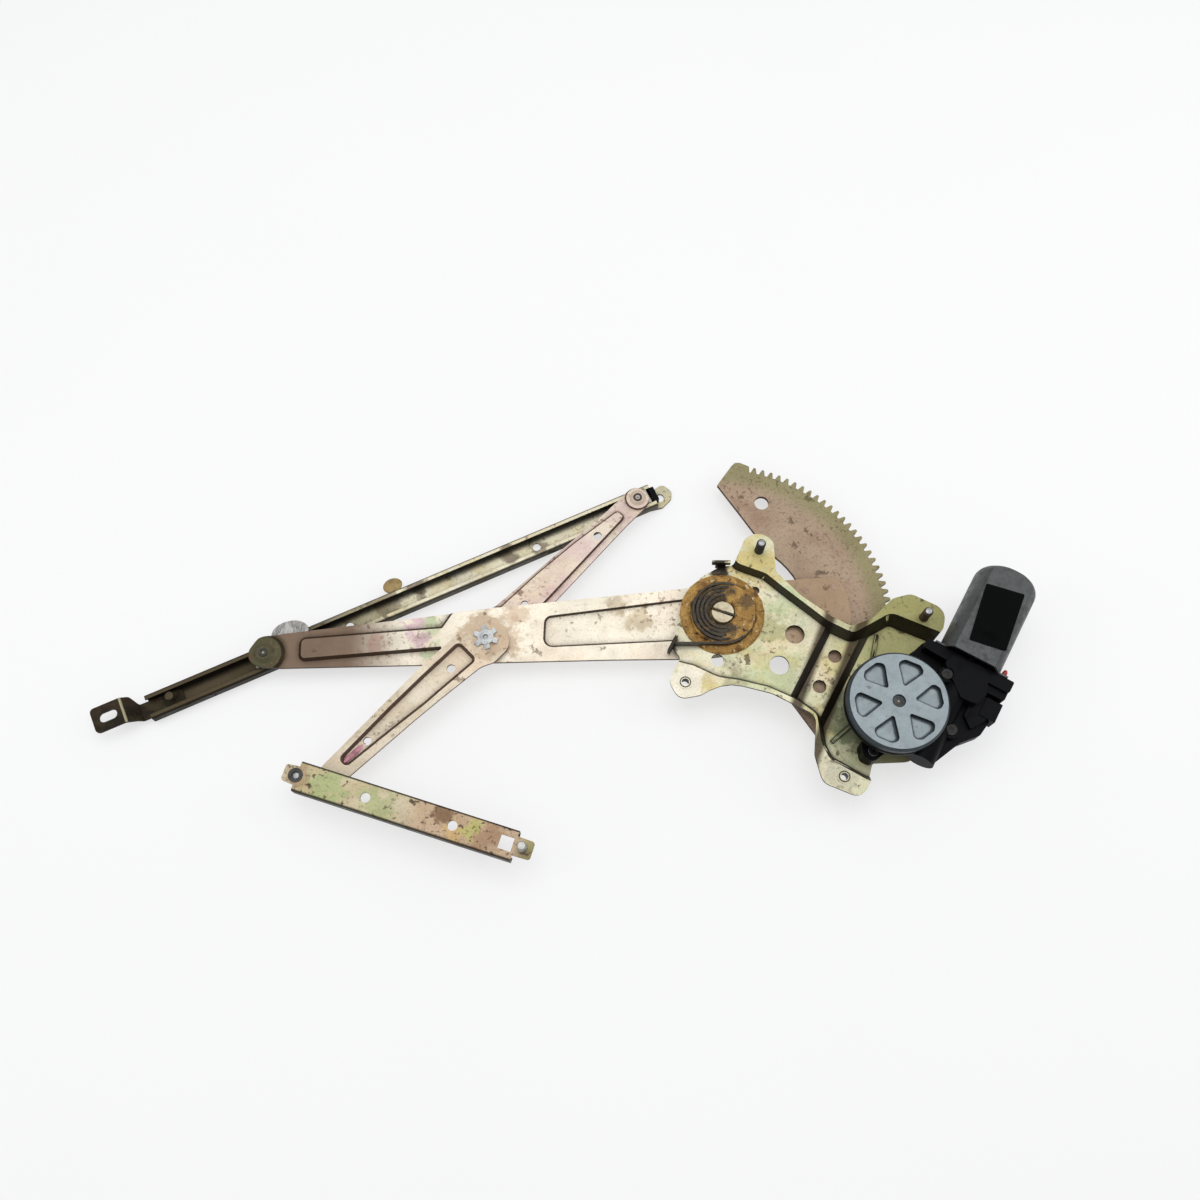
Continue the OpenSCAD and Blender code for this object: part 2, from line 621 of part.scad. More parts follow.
module upper_guide_pin() {
    color("silver") in_cross_frame(upper_angle) at([cross_to_guide, 0]) {
        head = upper_low + cross_t + 1;
        rod(guide_pin_d, guide_pin_low, head + small);
        translate([0, 0, head]) cylinder(d1 = guide_pin_d + 4, d2 = guide_pin_d, h = 1.4);
        rod(guide_head_d - 0.8, guide_pin_low, guide_pin_low + 1.4);
    }
}
low_pin_top = -rail_t - guide_play - 0.6;
module lower_guide_pin() {
    seat = lower_top - tan(lower_pitch) * (cross_to_lower + guide_pin_d - kink_at) - cross_t / cos(lower_pitch);
    color("silver") in_cross_frame(lower_angle) at([cross_to_lower, 0]) {
        rod(guide_pin_d, seat - small, low_pin_top);
        rod(guide_head_d - 0.8, low_pin_top - 1.4, low_pin_top);
        translate([0, 0, seat - 1.8]) cylinder(d1 = guide_pin_d + 1, d2 = guide_pin_d + 6, h = 1.8);
    }
}

// ---- Guides and rails ---------------------------------------------------------------------
guide_low = rail_low + rail_t + guide_play;
guide_pin_low = guide_low + 0.4;
guide_w = rail_w - 2 * rail_t - 2 * guide_play;
neck_w = rail_w - 2 * lip_w - 2 * guide_play;
module lift_guide(top) {
    difference() {
        union() {
            translate([-guide_len / 2, -guide_w / 2, guide_low])
                cube([guide_len, guide_w, rail_h - 2 * rail_t - 2 * guide_play]);
            translate([-guide_len / 2, -neck_w / 2, guide_low]) cube([guide_len, neck_w, top - guide_low]);
        }
        rod(guide_pin_d + 2 * run_fit, -60, 10);
        rod(guide_head_d, guide_low - over, guide_pin_low + 1.6);
    }
}
module in_rail_frame() {
    placed() at(lift_guide_at, rail_angle) children();
}
module lift_arm_guide() {
    color("ivory") in_rail_frame() {
        lift_guide(arm_low - arm_drop - face_gap);
        // Wing that clips over the rail's lip
        difference() {
            translate([6, -neck_w / 2 + 1, rail_top + 0.2]) cube([24, neck_w / 2 + 20, 0.6]);
            translate([18, 10, rail_top]) cube([3, 4, 3]);
        }
    }
}
module upper_arm_guide() {
    color("ivory") placed() at(upper_guide_at, rail_angle) lift_guide(upper_low - face_gap);
}
module channel(width, height, lip, start, end) {
    // A C section laid along X with its open side up and its web's underside at zero.
    w = width / 2;
    rotate([90, 0, 90]) translate([0, 0, start]) linear_extrude(end - start)
        polygon(outline([[-w, 0, 2], [w, 0, 2], [w, height, 1.8], [w - lip, height, 0.2], [w - lip,
            height - rail_t, 0.2],
            [w - rail_t, height - rail_t, 0.5], [w - rail_t, rail_t, 0.6], [-w + rail_t, rail_t, 0.6],
            [-w + rail_t, height - rail_t, 0.5], [-w + lip, height - rail_t, 0.2], [-w + lip, height,
                0.2], [-w, height, 1.8]]));
}
rail_end = rail_span + rail_head;
module lift_rail() {
    color("khaki") in_rail_frame() difference() {
        translate([0, 0, rail_low]) channel(rail_w, rail_h, lip_w, -rail_tail, rail_end);
        hole(6.8, [-72.5, 0]);
        hole(6, [60, 0]);
        hole(6, [205, 0]);
    }
}
web_top = rail_low + rail_t;
module left_rail_bracket() {
    plate_z = rail_top + 3.5;
    color("khaki") in_rail_frame() difference() {
        intersection() {
            sheet([[-122, 4 - rail_w / 2, 3], [-96, 4 - rail_w / 2, 2], [-92, 1 - rail_w / 2 + 2.2, 2],
                [-62, 3.2 - rail_w / 2, 3], [-62, rail_w / 2 - 3.2, 3],
                [-92, rail_w / 2 - 3, 2], [-96, 4 + rail_w / 2, 2], [-122, 4 + rail_w / 2, 3]], -40, 0);
            side_view([[-130, plate_z - 2], [-102, plate_z - 2], [-93, web_top], [-50, web_top], [-50,
                web_top + 1.5],
                [-92, web_top + 1.5], [-101, plate_z], [-130, plate_z]]);
        }
        at([-111.2, 4]) translate([-2.8, -3.4, -60]) cube([5.6, 6.8, 60]);
        hole(6.8, [-114, 4]);
        hole(6.8, [-108.4, 4]);
    }
}
module right_rail_bracket() {
    color("khaki") in_rail_frame() difference() {
        intersection() {
            sheet([[rail_span - 4, -6, 2], [rail_end + 4, -9.6, 3], [rail_end + 13, -6, 4],
                [rail_end + 16, 0, 4],
                [rail_end + 12, 8, 4], [rail_end + 2, 6, 3], [rail_span - 4, 6, 2]], -40, 0);
            side_view([[rail_end - 8, rail_low - 1.6], [rail_end + 40, rail_low - 1.6], [rail_end + 40,
                rail_low], [rail_end - 8, rail_low]]);
        }
        hole(6.2, [rail_end + 5.5, -1.7]);
    }
}
module rail_stop_tab() {
    color("khaki") in_rail_frame() difference() {
        translate([0, 0, rail_low]) union() {
            translate([91, rail_w / 2, rail_h - 2.5]) cube([16, 14, rail_t]);
            translate([91, rail_w / 2, 1]) cube([16, rail_t, rail_h - 1.6]);
        }
        hole(5, [99, rail_w / 2 + 8]);
    }
}
module rail_end_clip() {
    w = rail_w - 2 * rail_t - 0.2;
    color("dimgray") in_rail_frame() union() {
        translate([rail_end - 1.4, -w / 2, web_top + 0.1]) cube([1.4, w, rail_h - 2 * rail_t - 0.2]);
        translate([rail_end - 1.4, -neck_w / 2, web_top + 0.1]) cube([4, neck_w, rail_h - rail_t + 0.4]);
    }
}
module in_low_rail_frame() {
    placed() at(lower_guide_at, low_rail_angle) children();
}
module lower_arm_guide() {
    w = low_rail_w - 2 * rail_t - 2 * guide_play;
    neck = low_rail_w - 2 * lip_w - 2 * guide_play;
    high = -rail_t - guide_play;
    color("ivory") in_low_rail_frame() difference() {
        union() {
            translate([-guide_len / 2, -w / 2, low_rail_low + rail_t + guide_play])
                cube([guide_len, w, low_rail_h - 2 * rail_t - 2 * guide_play]);
            translate([-guide_len / 2, -neck / 2, lower_far + face_gap]) cube([guide_len, neck,
                high - lower_far - face_gap]);
        }
        rod(guide_pin_d + 2 * run_fit, -60, 10);
        rod(guide_head_d, low_pin_top - 1.6, 10);
    }
}
module lower_rail() {
    head = low_rail_head;
    color("gold") in_low_rail_frame() difference() {
        union() {
            rotate([180, 0, 0]) channel(low_rail_w, low_rail_h, lip_w, -low_rail_tail + 9, head - 12);
            sheet([[-low_rail_tail, -5.6, 2], [-low_rail_tail + 10, -6.4, 1], [head - 13, -6.4, 1], [head,
                -6, 2],
                [head, 6, 2], [head - 13, 6.4, 1], [-low_rail_tail + 10, 6.4, 1], [-low_rail_tail, 5.6,
                    2]], -rail_t, 0);
        }
        hole(nut_collar_d, [low_nut_x, 0]);
        hole(stud_d + clinch, [low_stud_x, 0]);
        hole(6.6, [32.2, 0]);
        hole(6.6, [92.5, 0]);
        translate([head - 22.5, -4.6, -3]) cube([9, 9.2, 6]);
    }
}
low_nut_x = -low_rail_tail + 8.3;
low_stud_x = low_rail_head - 6.7;
module lower_rail_nut() {
    color("silver") in_low_rail_frame() at([low_nut_x, 0]) difference() {
        union() {
            rod(nut_collar_d, -rail_t, 0.3);
            rod(nut_collar_d + 1.2, -rail_t - 4, -rail_t);
        }
        rod(nut_tap_d, -20, 5);
    }
}
module lower_rail_stud() {
    color("silver") in_low_rail_frame() at([low_stud_x, 0]) stud(stud_len - 1, rail_t);
}

// ---- Motor, drawn from the output shaft along the armature ---------------------------------
module in_motor_frame() {
    placed() at(motor_at, motor_angle) children();
}
module along_worm() {
    // X becomes the armature's axis.
    translate([0, -worm_offset, worm_z]) rotate([0, 90, 0]) children();
}
housing_low = -motor_floor;
housing_top = cover_top - 7;
bowl_r = cover_r + 0.5;
worm_r = 5;
wheel_r = worm_offset - worm_r - 0.25;
wheel_t = 9;
wheel_low = worm_z - wheel_t / 2;
cavity_r = wheel_r + 0.8;
cavity_low = wheel_low - 0.8;
tube_r = 9;
bead_gap = 1.7;
flange_t = 1.2;
flange_low = -9;
flange_top = 16;
housing_rim = [[-20, -39.8, 3], [0.5, -48.8, 4], [12, -58.4, 3], [24, -60, 3], [can_start, -62, 3],
    [can_start, 1, 3], [44, 4, 4], [20, 16, 6], [-18, 4, 4], [-22, -34, 3]];
screw_hole_d = 4.4;
screw_head_d = 7;
screw_places = [[3.9, -39.4], [36.3, -20.9], [-31.6, -2.1]];
screw_tops = [11, 14, 3];
connector = [[23, -62.6, -2], [14, 11.6, 12]];
module gear_housing() {
    color("gray") in_motor_frame() difference() {
        union() {
            // Dished bowl of the gear, with a rim under the cover
            translate([0, 0, housing_low + bead_gap])
                cylinder(r1 = wheel_r - 1, r2 = bowl_r, h = housing_top - 3 - housing_low - bead_gap);
            rod(2 * bowl_r, housing_top - 3 - small, housing_top);
            rod(2 * wheel_r - 8, housing_low, housing_low + bead_gap + 1);
            sheet(housing_rim, -5, 6);
            // Raised head beside the can's flange, and the blocks that lead to it
            sheet([[44, -62, 2], [can_start, -62, 1], [can_start, 0.5, 1], [46, 0.5, 2], [45, -16, 2]],
                -4, 15);
            sheet([[25, -35, 2], [26, -46, 2], [35, -49, 2], [49, -45, 2], [51.5, -39, 2], [50, -19, 3],
                [42, -16, 3]], 4, housing_top);
            sheet([[38.4, -45, 1], [39, -61.6, 1], [47.6, -61.6, 1], [47, -45, 1]], 4, 12.6);
            sheet([[11.4, -50.5, 1], [22, -57, 1], [38, -54, 1], [34, -43, 2], [18, -43, 2]], 4, 9.4);
            at(screw_places[0]) rod(screw_head_d + 4, -5, screw_tops[0]);
            at(screw_places[1]) rod(screw_head_d + 4, -5, screw_tops[1]);
            sheet([[-38, 2, 3], [-38, -5, 3], [-25, -11, 4], [-20, 6, 3], [-31, 7, 3]], housing_low,
                screw_tops[2]);
            for (place = screw_places) at(place) rod(screw_head_d + 3, housing_low, -3);
            along_worm() rod(2 * tube_r, -24, can_start);
            rod(2 * pinion_r + 6, housing_low - plate_t + 0.3, housing_low + small);
        }
        rod(2 * cavity_r, cavity_low, housing_top + over);
        rod(output_d + 2 * run_fit, -60, 60);
        along_worm() rod(2 * worm_r + 1, -22, can_start + 1);
        for (k = [0:2]) at(screw_places[k]) {
            rod(screw_hole_d, -60, 60);
            rod(screw_head_d + 0.6, screw_tops[k], k == 2 ? housing_top - 3.4 : 60);
        }
        translate(connector[0]) cube(connector[1]);
    }
}
module gear_cover() {
    color("dimgray") in_motor_frame() difference() {
        union() {
            rod(2 * cover_r, housing_top, cover_top - 2);
            translate([0, 0, cover_top - 2]) cylinder(r1 = cover_r, r2 = cover_r - 1.6, h = 2);
            rod(2 * cavity_r - 0.4, housing_top - 2, housing_top + small);
        }
        for (k = [0:5]) rotate([0, 0, 6 + 60 * k])
            sheet([[10, 0, 1.4], [25, -9.4, 3.5], [28.6, -5, 3], [28.6, 5, 3], [25, 9.4, 3.5]],
                cover_top - 3.2, cover_top + over);
        rod(8.8, cover_top - 1.6, cover_top + over);
        rod(output_d + 1, housing_top - 4, cover_top - 3.4);
    }
}
module connector_block() {
    wall = 1.4;
    size = connector[1];
    color("black") in_motor_frame() difference() {
        translate(connector[0]) cube(size);
        translate(connector[0] + [wall, -over, wall]) cube([size[0] - 2 * wall, 8.6, size[2] - 2 * wall]);
    }
}
module connector_pins() {
    root = connector[0] + [0, 7.6, connector[1][2] / 2 - 0.4];
    color("gold") in_motor_frame() for (x = [4, 9]) translate(root + [x, -6, 0]) cube([1.4, 6, 0.8]);
}
module motor_screws() {
    color("silver") in_motor_frame() for (k = [0:2]) at(screw_places[k]) difference() {
        union() {
            rod(screw_hole_d - 0.1, housing_low - plate_t - 0.4, screw_tops[k] + small);
            rod(screw_head_d, screw_tops[k], screw_tops[k] + 1.6);
        }
        rod(3.4, screw_tops[k] + 0.6, 40);
    }
}
module vent_plug() {
    color("red") in_motor_frame() translate([can_start + flange_t, -worm_offset - can_d / 2 - 2.1,
        12.4]) rotate([0, 90, 0]) {
        rod(3.4, 0, 3);
        translate([0, 0, 3]) cylinder(d1 = 3.4, d2 = 2, h = 1.6);
    }
}
mesh_tooth = first_tooth - 360 / sector_z * round((first_tooth - mesh_angle) / (360 / sector_z));
pinion_gap = mesh_angle + 180 - (mesh_tooth - mesh_angle) * sector_z / pinion_z;
pinion_low = sector_low - 0.8;
pinion_high = sector_top + 0.3;
module pinion() {
    color("silver") placed() at(motor_at, pinion_gap + 180 / pinion_z,
        pinion_low) linear_extrude(pinion_high - pinion_low)
        difference() {
            polygon([for (k = [0:pinion_z - 1]) each tooth(pinion_z, shift, pinion_root, pinion_tip,
                k * 360 / pinion_z, 4)]);
            circle(d = output_d - 1);
        }
}
module output_shaft() {
    color("silver") in_motor_frame() union() {
        rod(output_d - 1, pinion_low - 1, pinion_high + small);
        rod(output_d, pinion_high, cover_top - 3.8);
        rod(output_d + 2, pinion_low - 1, pinion_low);
    }
}
module worm_wheel() {
    teeth = 60;
    color("ivory") in_motor_frame() difference() {
        translate([0, 0, wheel_low]) linear_extrude(wheel_t) difference() {
            polygon([for (k = [0:teeth - 1], s = [0:3])
                (s == 0 || s == 3 ? wheel_r - 1.2 : wheel_r) * dir((k + [0.1, 0.35, 0.65,
                    0.9][s]) * 360 / teeth)]);
            circle(output_d / 2 + 2);
        }
        ring(2 * (wheel_r - 4), 2 * (output_d / 2 + 4), wheel_low + wheel_t - 5, 30);
    }
}
module drive_damper() {
    color("black") in_motor_frame() ring(2 * (wheel_r - 4.2), 2 * (output_d / 2 + 4.2),
        wheel_low + wheel_t - 4.8, wheel_low + wheel_t - 1);
}
module drive_plate() {
    color("silver") in_motor_frame() ring(2 * (wheel_r - 5), output_d, wheel_low + wheel_t + 0.1,
        wheel_low + wheel_t + 2);
}
module flat_can(r, flat, low, high, round) {
    // A tube section along Z with two flats, and a rounded shoulder at its upper end.
    intersection() {
        rotate_extrude() polygon([[0, low], [r, low], [r, high - round],
            for (a = [15:15:75]) [r - round + round * cos(a), high - round + round * sin(a)],
            [r - round, high], [0, high]]);
        translate([-flat / 2, -r - 1, low - 1]) cube([flat, 2 * r + 2, high - low + 2]);
    }
}
can_end = can_start + can_len;
flange_w = can_d + 9;
module motor_can() {
    color("dimgray") in_motor_frame() difference() {
        union() {
            along_worm() flat_can(can_d / 2, can_flat, can_start, can_end, 9);
            along_worm() rod(16, can_end - small, can_end + 2);
            translate([can_start, -worm_offset - flange_w / 2, flange_low]) cube([flange_t, flange_w,
                flange_top - flange_low]);
        }
        along_worm() flat_can(can_d / 2 - can_wall, can_flat - 2 * can_wall, can_start - over,
            can_end - can_wall, 9 - can_wall);
        along_worm() rod(12, can_end - 4, can_end + 1);
    }
}
module motor_pad() {
    color("silver") in_motor_frame() translate([0, 0, worm_z + can_flat / 2])
        sheet([[61.9, -22.7, 1], [66.2, -47, 1], [109.6, -42.3, 1], [104.4, -16.7, 1]], 0, 0.8);
}
module end_bearing() {
    color("peru") in_motor_frame() along_worm() ring(11.9, shaft_d + 2 * run_fit, can_end - 3,
        can_end + 0.8);
}
magnet_r = can_d / 2 - can_wall - 0.2;
core_r = 10.6;
module field_magnets() {
    color("gray") in_motor_frame() along_worm() intersection() {
        ring(2 * magnet_r, 2 * core_r + 1.4, can_start + 24, can_end - 12);
        union() for (side = [-1, 1]) translate([-core_r,
            side > 0 ? core_r * 0.55 : -magnet_r - core_r * 0.55, 0])
            cube([2 * core_r, magnet_r, 200]);
    }
}
module brush_holder() {
    color("saddlebrown") in_motor_frame() along_worm() difference() {
        flat_can(can_d / 2 - can_wall - 0.2, can_flat - 2 * can_wall - 0.4, can_start + 1, can_start + 5,
            1);
        rod(16, can_start - 1, can_start + 9);
    }
}
module armature_shaft() {
    threads = 9;
    pitch = 4;
    color("silver") in_motor_frame() along_worm() {
        rod(shaft_d, -20, can_end + 0.4);
        for (k = [0:threads - 1]) translate([0, 0, (k - threads / 2) * pitch]) rotate_extrude()
            polygon([[shaft_d / 2 - 0.2, 0], [worm_r, 1.2], [worm_r, 2], [shaft_d / 2 - 0.2, 3.2]]);
    }
}
module armature_core() {
    slots = 10;
    color("darkorange") in_motor_frame() along_worm() difference() {
        rod(2 * core_r, can_start + 24, can_end - 12);
        rod(shaft_d, 0, 200);
        for (k = [0:slots - 1]) rotate([0, 0, 360 / slots * k]) translate([core_r - 3.4, -0.9,
            0]) cube([6, 1.8, 200]);
    }
}
module commutator() {
    color("orange") in_motor_frame() along_worm() ring(14, shaft_d, can_start + 6, can_start + 20);
}

base_plate();
upper_stud();
right_stud();
plate_weld_nuts();
pivot_bush();
main_pivot_pin();
sliding_disc();
counterbalance_spring();
lift_arm();
sector_gear();
sector_rivets();
lift_arm_guide_pin();
cross_bush();
lower_cross_arm();
upper_cross_arm();
cross_rivet();
upper_guide_pin();
lower_guide_pin();
lift_arm_guide();
upper_arm_guide();
lower_arm_guide();
lift_rail();
left_rail_bracket();
right_rail_bracket();
rail_stop_tab();
rail_end_clip();
lower_rail();
lower_rail_nut();
lower_rail_stud();
gear_housing();
gear_cover();
connector_block();
connector_pins();
motor_screws();
vent_plug();
pinion();
output_shaft();
worm_wheel();
drive_damper();
drive_plate();
motor_can();
motor_pad();
end_bearing();
field_magnets();
brush_holder();
armature_shaft();
armature_core();
commutator();
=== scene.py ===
# Looks of the power window regulator: finishes, small pieces, floor, light and camera.
import math

import bpy
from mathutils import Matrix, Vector


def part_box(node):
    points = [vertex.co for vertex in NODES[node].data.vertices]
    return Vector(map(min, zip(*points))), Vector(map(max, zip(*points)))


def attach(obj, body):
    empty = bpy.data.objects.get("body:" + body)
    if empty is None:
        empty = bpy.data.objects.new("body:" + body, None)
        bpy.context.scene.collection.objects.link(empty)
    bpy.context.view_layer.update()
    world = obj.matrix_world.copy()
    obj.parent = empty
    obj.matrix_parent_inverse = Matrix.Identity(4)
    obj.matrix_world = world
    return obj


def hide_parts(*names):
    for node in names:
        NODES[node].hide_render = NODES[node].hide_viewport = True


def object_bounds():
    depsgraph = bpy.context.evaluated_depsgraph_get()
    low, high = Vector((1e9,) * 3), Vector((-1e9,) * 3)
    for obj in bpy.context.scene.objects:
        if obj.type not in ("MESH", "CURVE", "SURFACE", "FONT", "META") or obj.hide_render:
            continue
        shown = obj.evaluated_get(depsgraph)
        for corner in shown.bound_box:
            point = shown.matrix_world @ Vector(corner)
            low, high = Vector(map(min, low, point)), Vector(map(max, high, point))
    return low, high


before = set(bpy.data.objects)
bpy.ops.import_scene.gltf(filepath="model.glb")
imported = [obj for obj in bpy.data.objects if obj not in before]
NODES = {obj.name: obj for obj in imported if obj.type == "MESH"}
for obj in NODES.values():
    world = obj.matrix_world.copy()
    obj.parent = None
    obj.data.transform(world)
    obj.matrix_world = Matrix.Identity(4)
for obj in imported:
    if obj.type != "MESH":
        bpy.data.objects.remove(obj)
cad_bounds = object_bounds()
MM = 0.001


def middle(node):
    low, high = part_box(node)
    return (low + high) / 2


# The main pivot, from which places are measured in millimetres, and the floor under the part.
PIVOT = middle("main_pivot_pin")
FLOOR_Z = cad_bounds[0][2] - 0.6 * MM


def spot(x, y):
    """A place on the part, in metres, from millimetres right of and above the main pivot."""
    return (PIVOT.x + x * MM, PIVOT.y + y * MM)


# ---- Materials ---------------------------------------------------------------------------


class Finish:
    """Builds one procedural material in layers, on the object's own coordinates."""

    def __init__(self, name, base, metallic, roughness, shine=0.5):
        self.mat = bpy.data.materials.new(name)
        self.mat.use_nodes = True
        self.tree = self.mat.node_tree
        self.bsdf = self.tree.nodes["Principled BSDF"]
        self.coords = self.tree.nodes.new("ShaderNodeTexCoord").outputs["Object"]
        self.bsdf.inputs["Metallic"].default_value = metallic
        self.bsdf.inputs["Roughness"].default_value = roughness
        self.bsdf.inputs["Specular IOR Level"].default_value = shine
        self.base = base
        self.color = None
        self.rough = None
        self.rough_base = roughness

    def node(self, kind, **inputs):
        made = self.tree.nodes.new(kind)
        for key, value in inputs.items():
            made.inputs[key.replace("_", " ")].default_value = value
        return made

    def link(self, a, b):
        self.tree.links.new(a, b)

    def math(self, operation, a, b):
        """One sum on two sockets or numbers."""
        made = self.node("ShaderNodeMath")
        made.operation = operation
        for i, value in enumerate((a, b)):
            if isinstance(value, (int, float)):
                made.inputs[i].default_value = value
            else:
                self.link(value, made.inputs[i])
        return made.outputs["Value"]

    def ramp(self, value, low, high):
        """0 below low, 1 above high, or the other way round where low is the larger."""
        made = self.node("ShaderNodeMapRange")
        made.interpolation_type = "SMOOTHSTEP"
        made.inputs["From Min"].default_value = min(low, high)
        made.inputs["From Max"].default_value = max(low, high)
        if low > high:
            made.inputs["To Min"].default_value = 1.0
            made.inputs["To Max"].default_value = 0.0
        self.link(value, made.inputs["Value"])
        return made.outputs["Result"]

    def texture(self, scale, detail=4.0, stretch=(1, 1, 1), turn=0.0, offset=0.0):
        place = self.node("ShaderNodeMapping")
        place.inputs["Scale"].default_value = stretch
        place.inputs["Rotation"].default_value = (0, 0, turn)
        place.inputs["Location"].default_value = (offset, offset * 0.7, 0)
        self.link(self.coords, place.inputs["Vector"])
        noise = self.node("ShaderNodeTexNoise", Scale=scale, Detail=detail, Roughness=0.6)
        self.link(place.outputs["Vector"], noise.inputs["Vector"])
        return noise.outputs["Fac"]

    def pattern(self, scale, low, high, detail=4.0, stretch=(1, 1, 1), turn=0.0, offset=0.0):
        """A mask from 0 to 1 of blots of a given scale per metre."""
        return self.ramp(self.texture(scale, detail, stretch, turn, offset), low, high)

    def distance(self, x, y):
        """How far, seen from above, the surface is from a place, in metres."""
        flat = self.node("ShaderNodeVectorMath")
        flat.operation = "MULTIPLY"
        flat.inputs[1].default_value = (1, 1, 0)
        self.link(self.coords, flat.inputs[0])
        reach = self.node("ShaderNodeVectorMath")
        reach.operation = "DISTANCE"
        reach.inputs[1].default_value = (x, y, 0)
        self.link(flat.outputs["Vector"], reach.inputs[0])
        return reach.outputs["Value"]

    def near(self, place, radius, ragged=0.5, grain=90):
        """A mask that is 1 at a place on the part and fades out at a ragged edge."""
        away = self.distance(*spot(*place))
        noise = self.math("SUBTRACT", self.texture(grain, 7, offset=place[0] * 0.1), 0.5)
        wobble = self.math("MULTIPLY", noise, ragged * radius * MM * 6)
        away = self.math("ADD", away, wobble)
        return self.ramp(away, radius * MM * 1.15, radius * MM * (0.9 - 0.6 * ragged))

    def beyond(self, radius, width):
        """A mask for what lies farther than a radius from the main pivot."""
        away = self.distance(PIVOT.x, PIVOT.y)
        return self.ramp(away, (radius - width / 2) * MM, (radius + width / 2) * MM)

    def stripe(self, place, angle, width):
        """A mask for a straight line through a place, used to paint a highlight along the crest of
        a bend or shade along a step.
        """
        x, y = spot(*place)
        nx, ny = -math.sin(math.radians(angle)), math.cos(math.radians(angle))
        dot = self.node("ShaderNodeVectorMath")
        dot.operation = "DOT_PRODUCT"
        dot.inputs[1].default_value = (nx, ny, 0)
        self.link(self.coords, dot.inputs[0])
        away = self.math(
            "ABSOLUTE", self.math("SUBTRACT", dot.outputs["Value"], x * nx + y * ny), 0.0,
        )
        return self.ramp(away, width * MM / 2, width * MM * 0.15)

    def along(self, start, end):
        """A mask that grows from 0 at one place to 1 at another."""
        x0, y0 = spot(*start)
        x1, y1 = spot(*end)
        length = math.hypot(x1 - x0, y1 - y0)
        ux, uy = (x1 - x0) / length, (y1 - y0) / length
        dot = self.node("ShaderNodeVectorMath")
        dot.operation = "DOT_PRODUCT"
        dot.inputs[1].default_value = (ux, uy, 0)
        self.link(self.coords, dot.inputs[0])
        first = x0 * ux + y0 * uy
        return self.ramp(dot.outputs["Value"], first, first + length)

    def tint(self, color, mask, amount=1.0):
        """Lays a colour over what is there, by a mask."""
        mix = self.node("ShaderNodeMix")
        mix.data_type = "RGBA"
        self.link(self.math("MULTIPLY", mask, amount), mix.inputs["Factor"])
        if self.color is None:
            mix.inputs[6].default_value = (*self.base, 1)
        else:
            self.link(self.color, mix.inputs[6])
        mix.inputs[7].default_value = (*color, 1)
        self.color = mix.outputs[2]

    def roughen(self, mask, value):
        mix = self.node("ShaderNodeMix")
        self.link(mask, mix.inputs["Factor"])
        if self.rough is None:
            mix.inputs["A"].default_value = self.rough_base
        else:
            self.link(self.rough, mix.inputs["A"])
        mix.inputs["B"].default_value = value
        self.rough = mix.outputs["Result"]

    def steep(self, start=0.97, full=0.8):
        """A mask for faces that stand across the sheet: cut edges, walls and flanks of beads."""
        geometry = self.node("ShaderNodeNewGeometry")
        split = self.node("ShaderNodeSeparateXYZ")
        self.link(geometry.outputs["Normal"], split.inputs["Vector"])
        return self.ramp(self.math("ABSOLUTE", split.outputs["Z"], 0.0), start, full)

    def corners(self, reach, open_at=0.92, shut_at=0.5):
        """A mask for the piece's own inner corners, found by ambient occlusion: it paints shade
        there, together with the dirt that gathers.
        """
        shade = self.node("ShaderNodeAmbientOcclusion", Distance=reach * MM)
        shade.only_local = True
        shade.samples = 6
        return self.ramp(shade.outputs["AO"], open_at, shut_at)

    def bump(self, mask, depth):
        made = self.node("ShaderNodeBump", Distance=depth)
        made.inputs["Strength"].default_value = 1.0
        self.link(mask, made.inputs["Height"])
        if self.bsdf.inputs["Normal"].is_linked:
            self.link(self.bsdf.inputs["Normal"].links[0].from_socket, made.inputs["Normal"])
        self.link(made.outputs["Normal"], self.bsdf.inputs["Normal"])

    def done(self):
        if self.color is None:
            self.bsdf.inputs["Base Color"].default_value = (*self.base, 1)
        else:
            self.link(self.color, self.bsdf.inputs["Base Color"])
        if self.rough is not None:
            self.link(self.rough, self.bsdf.inputs["Roughness"])
        return self.mat


def scaled(color, factor):
    return tuple(min(1.0, factor * c) for c in color)


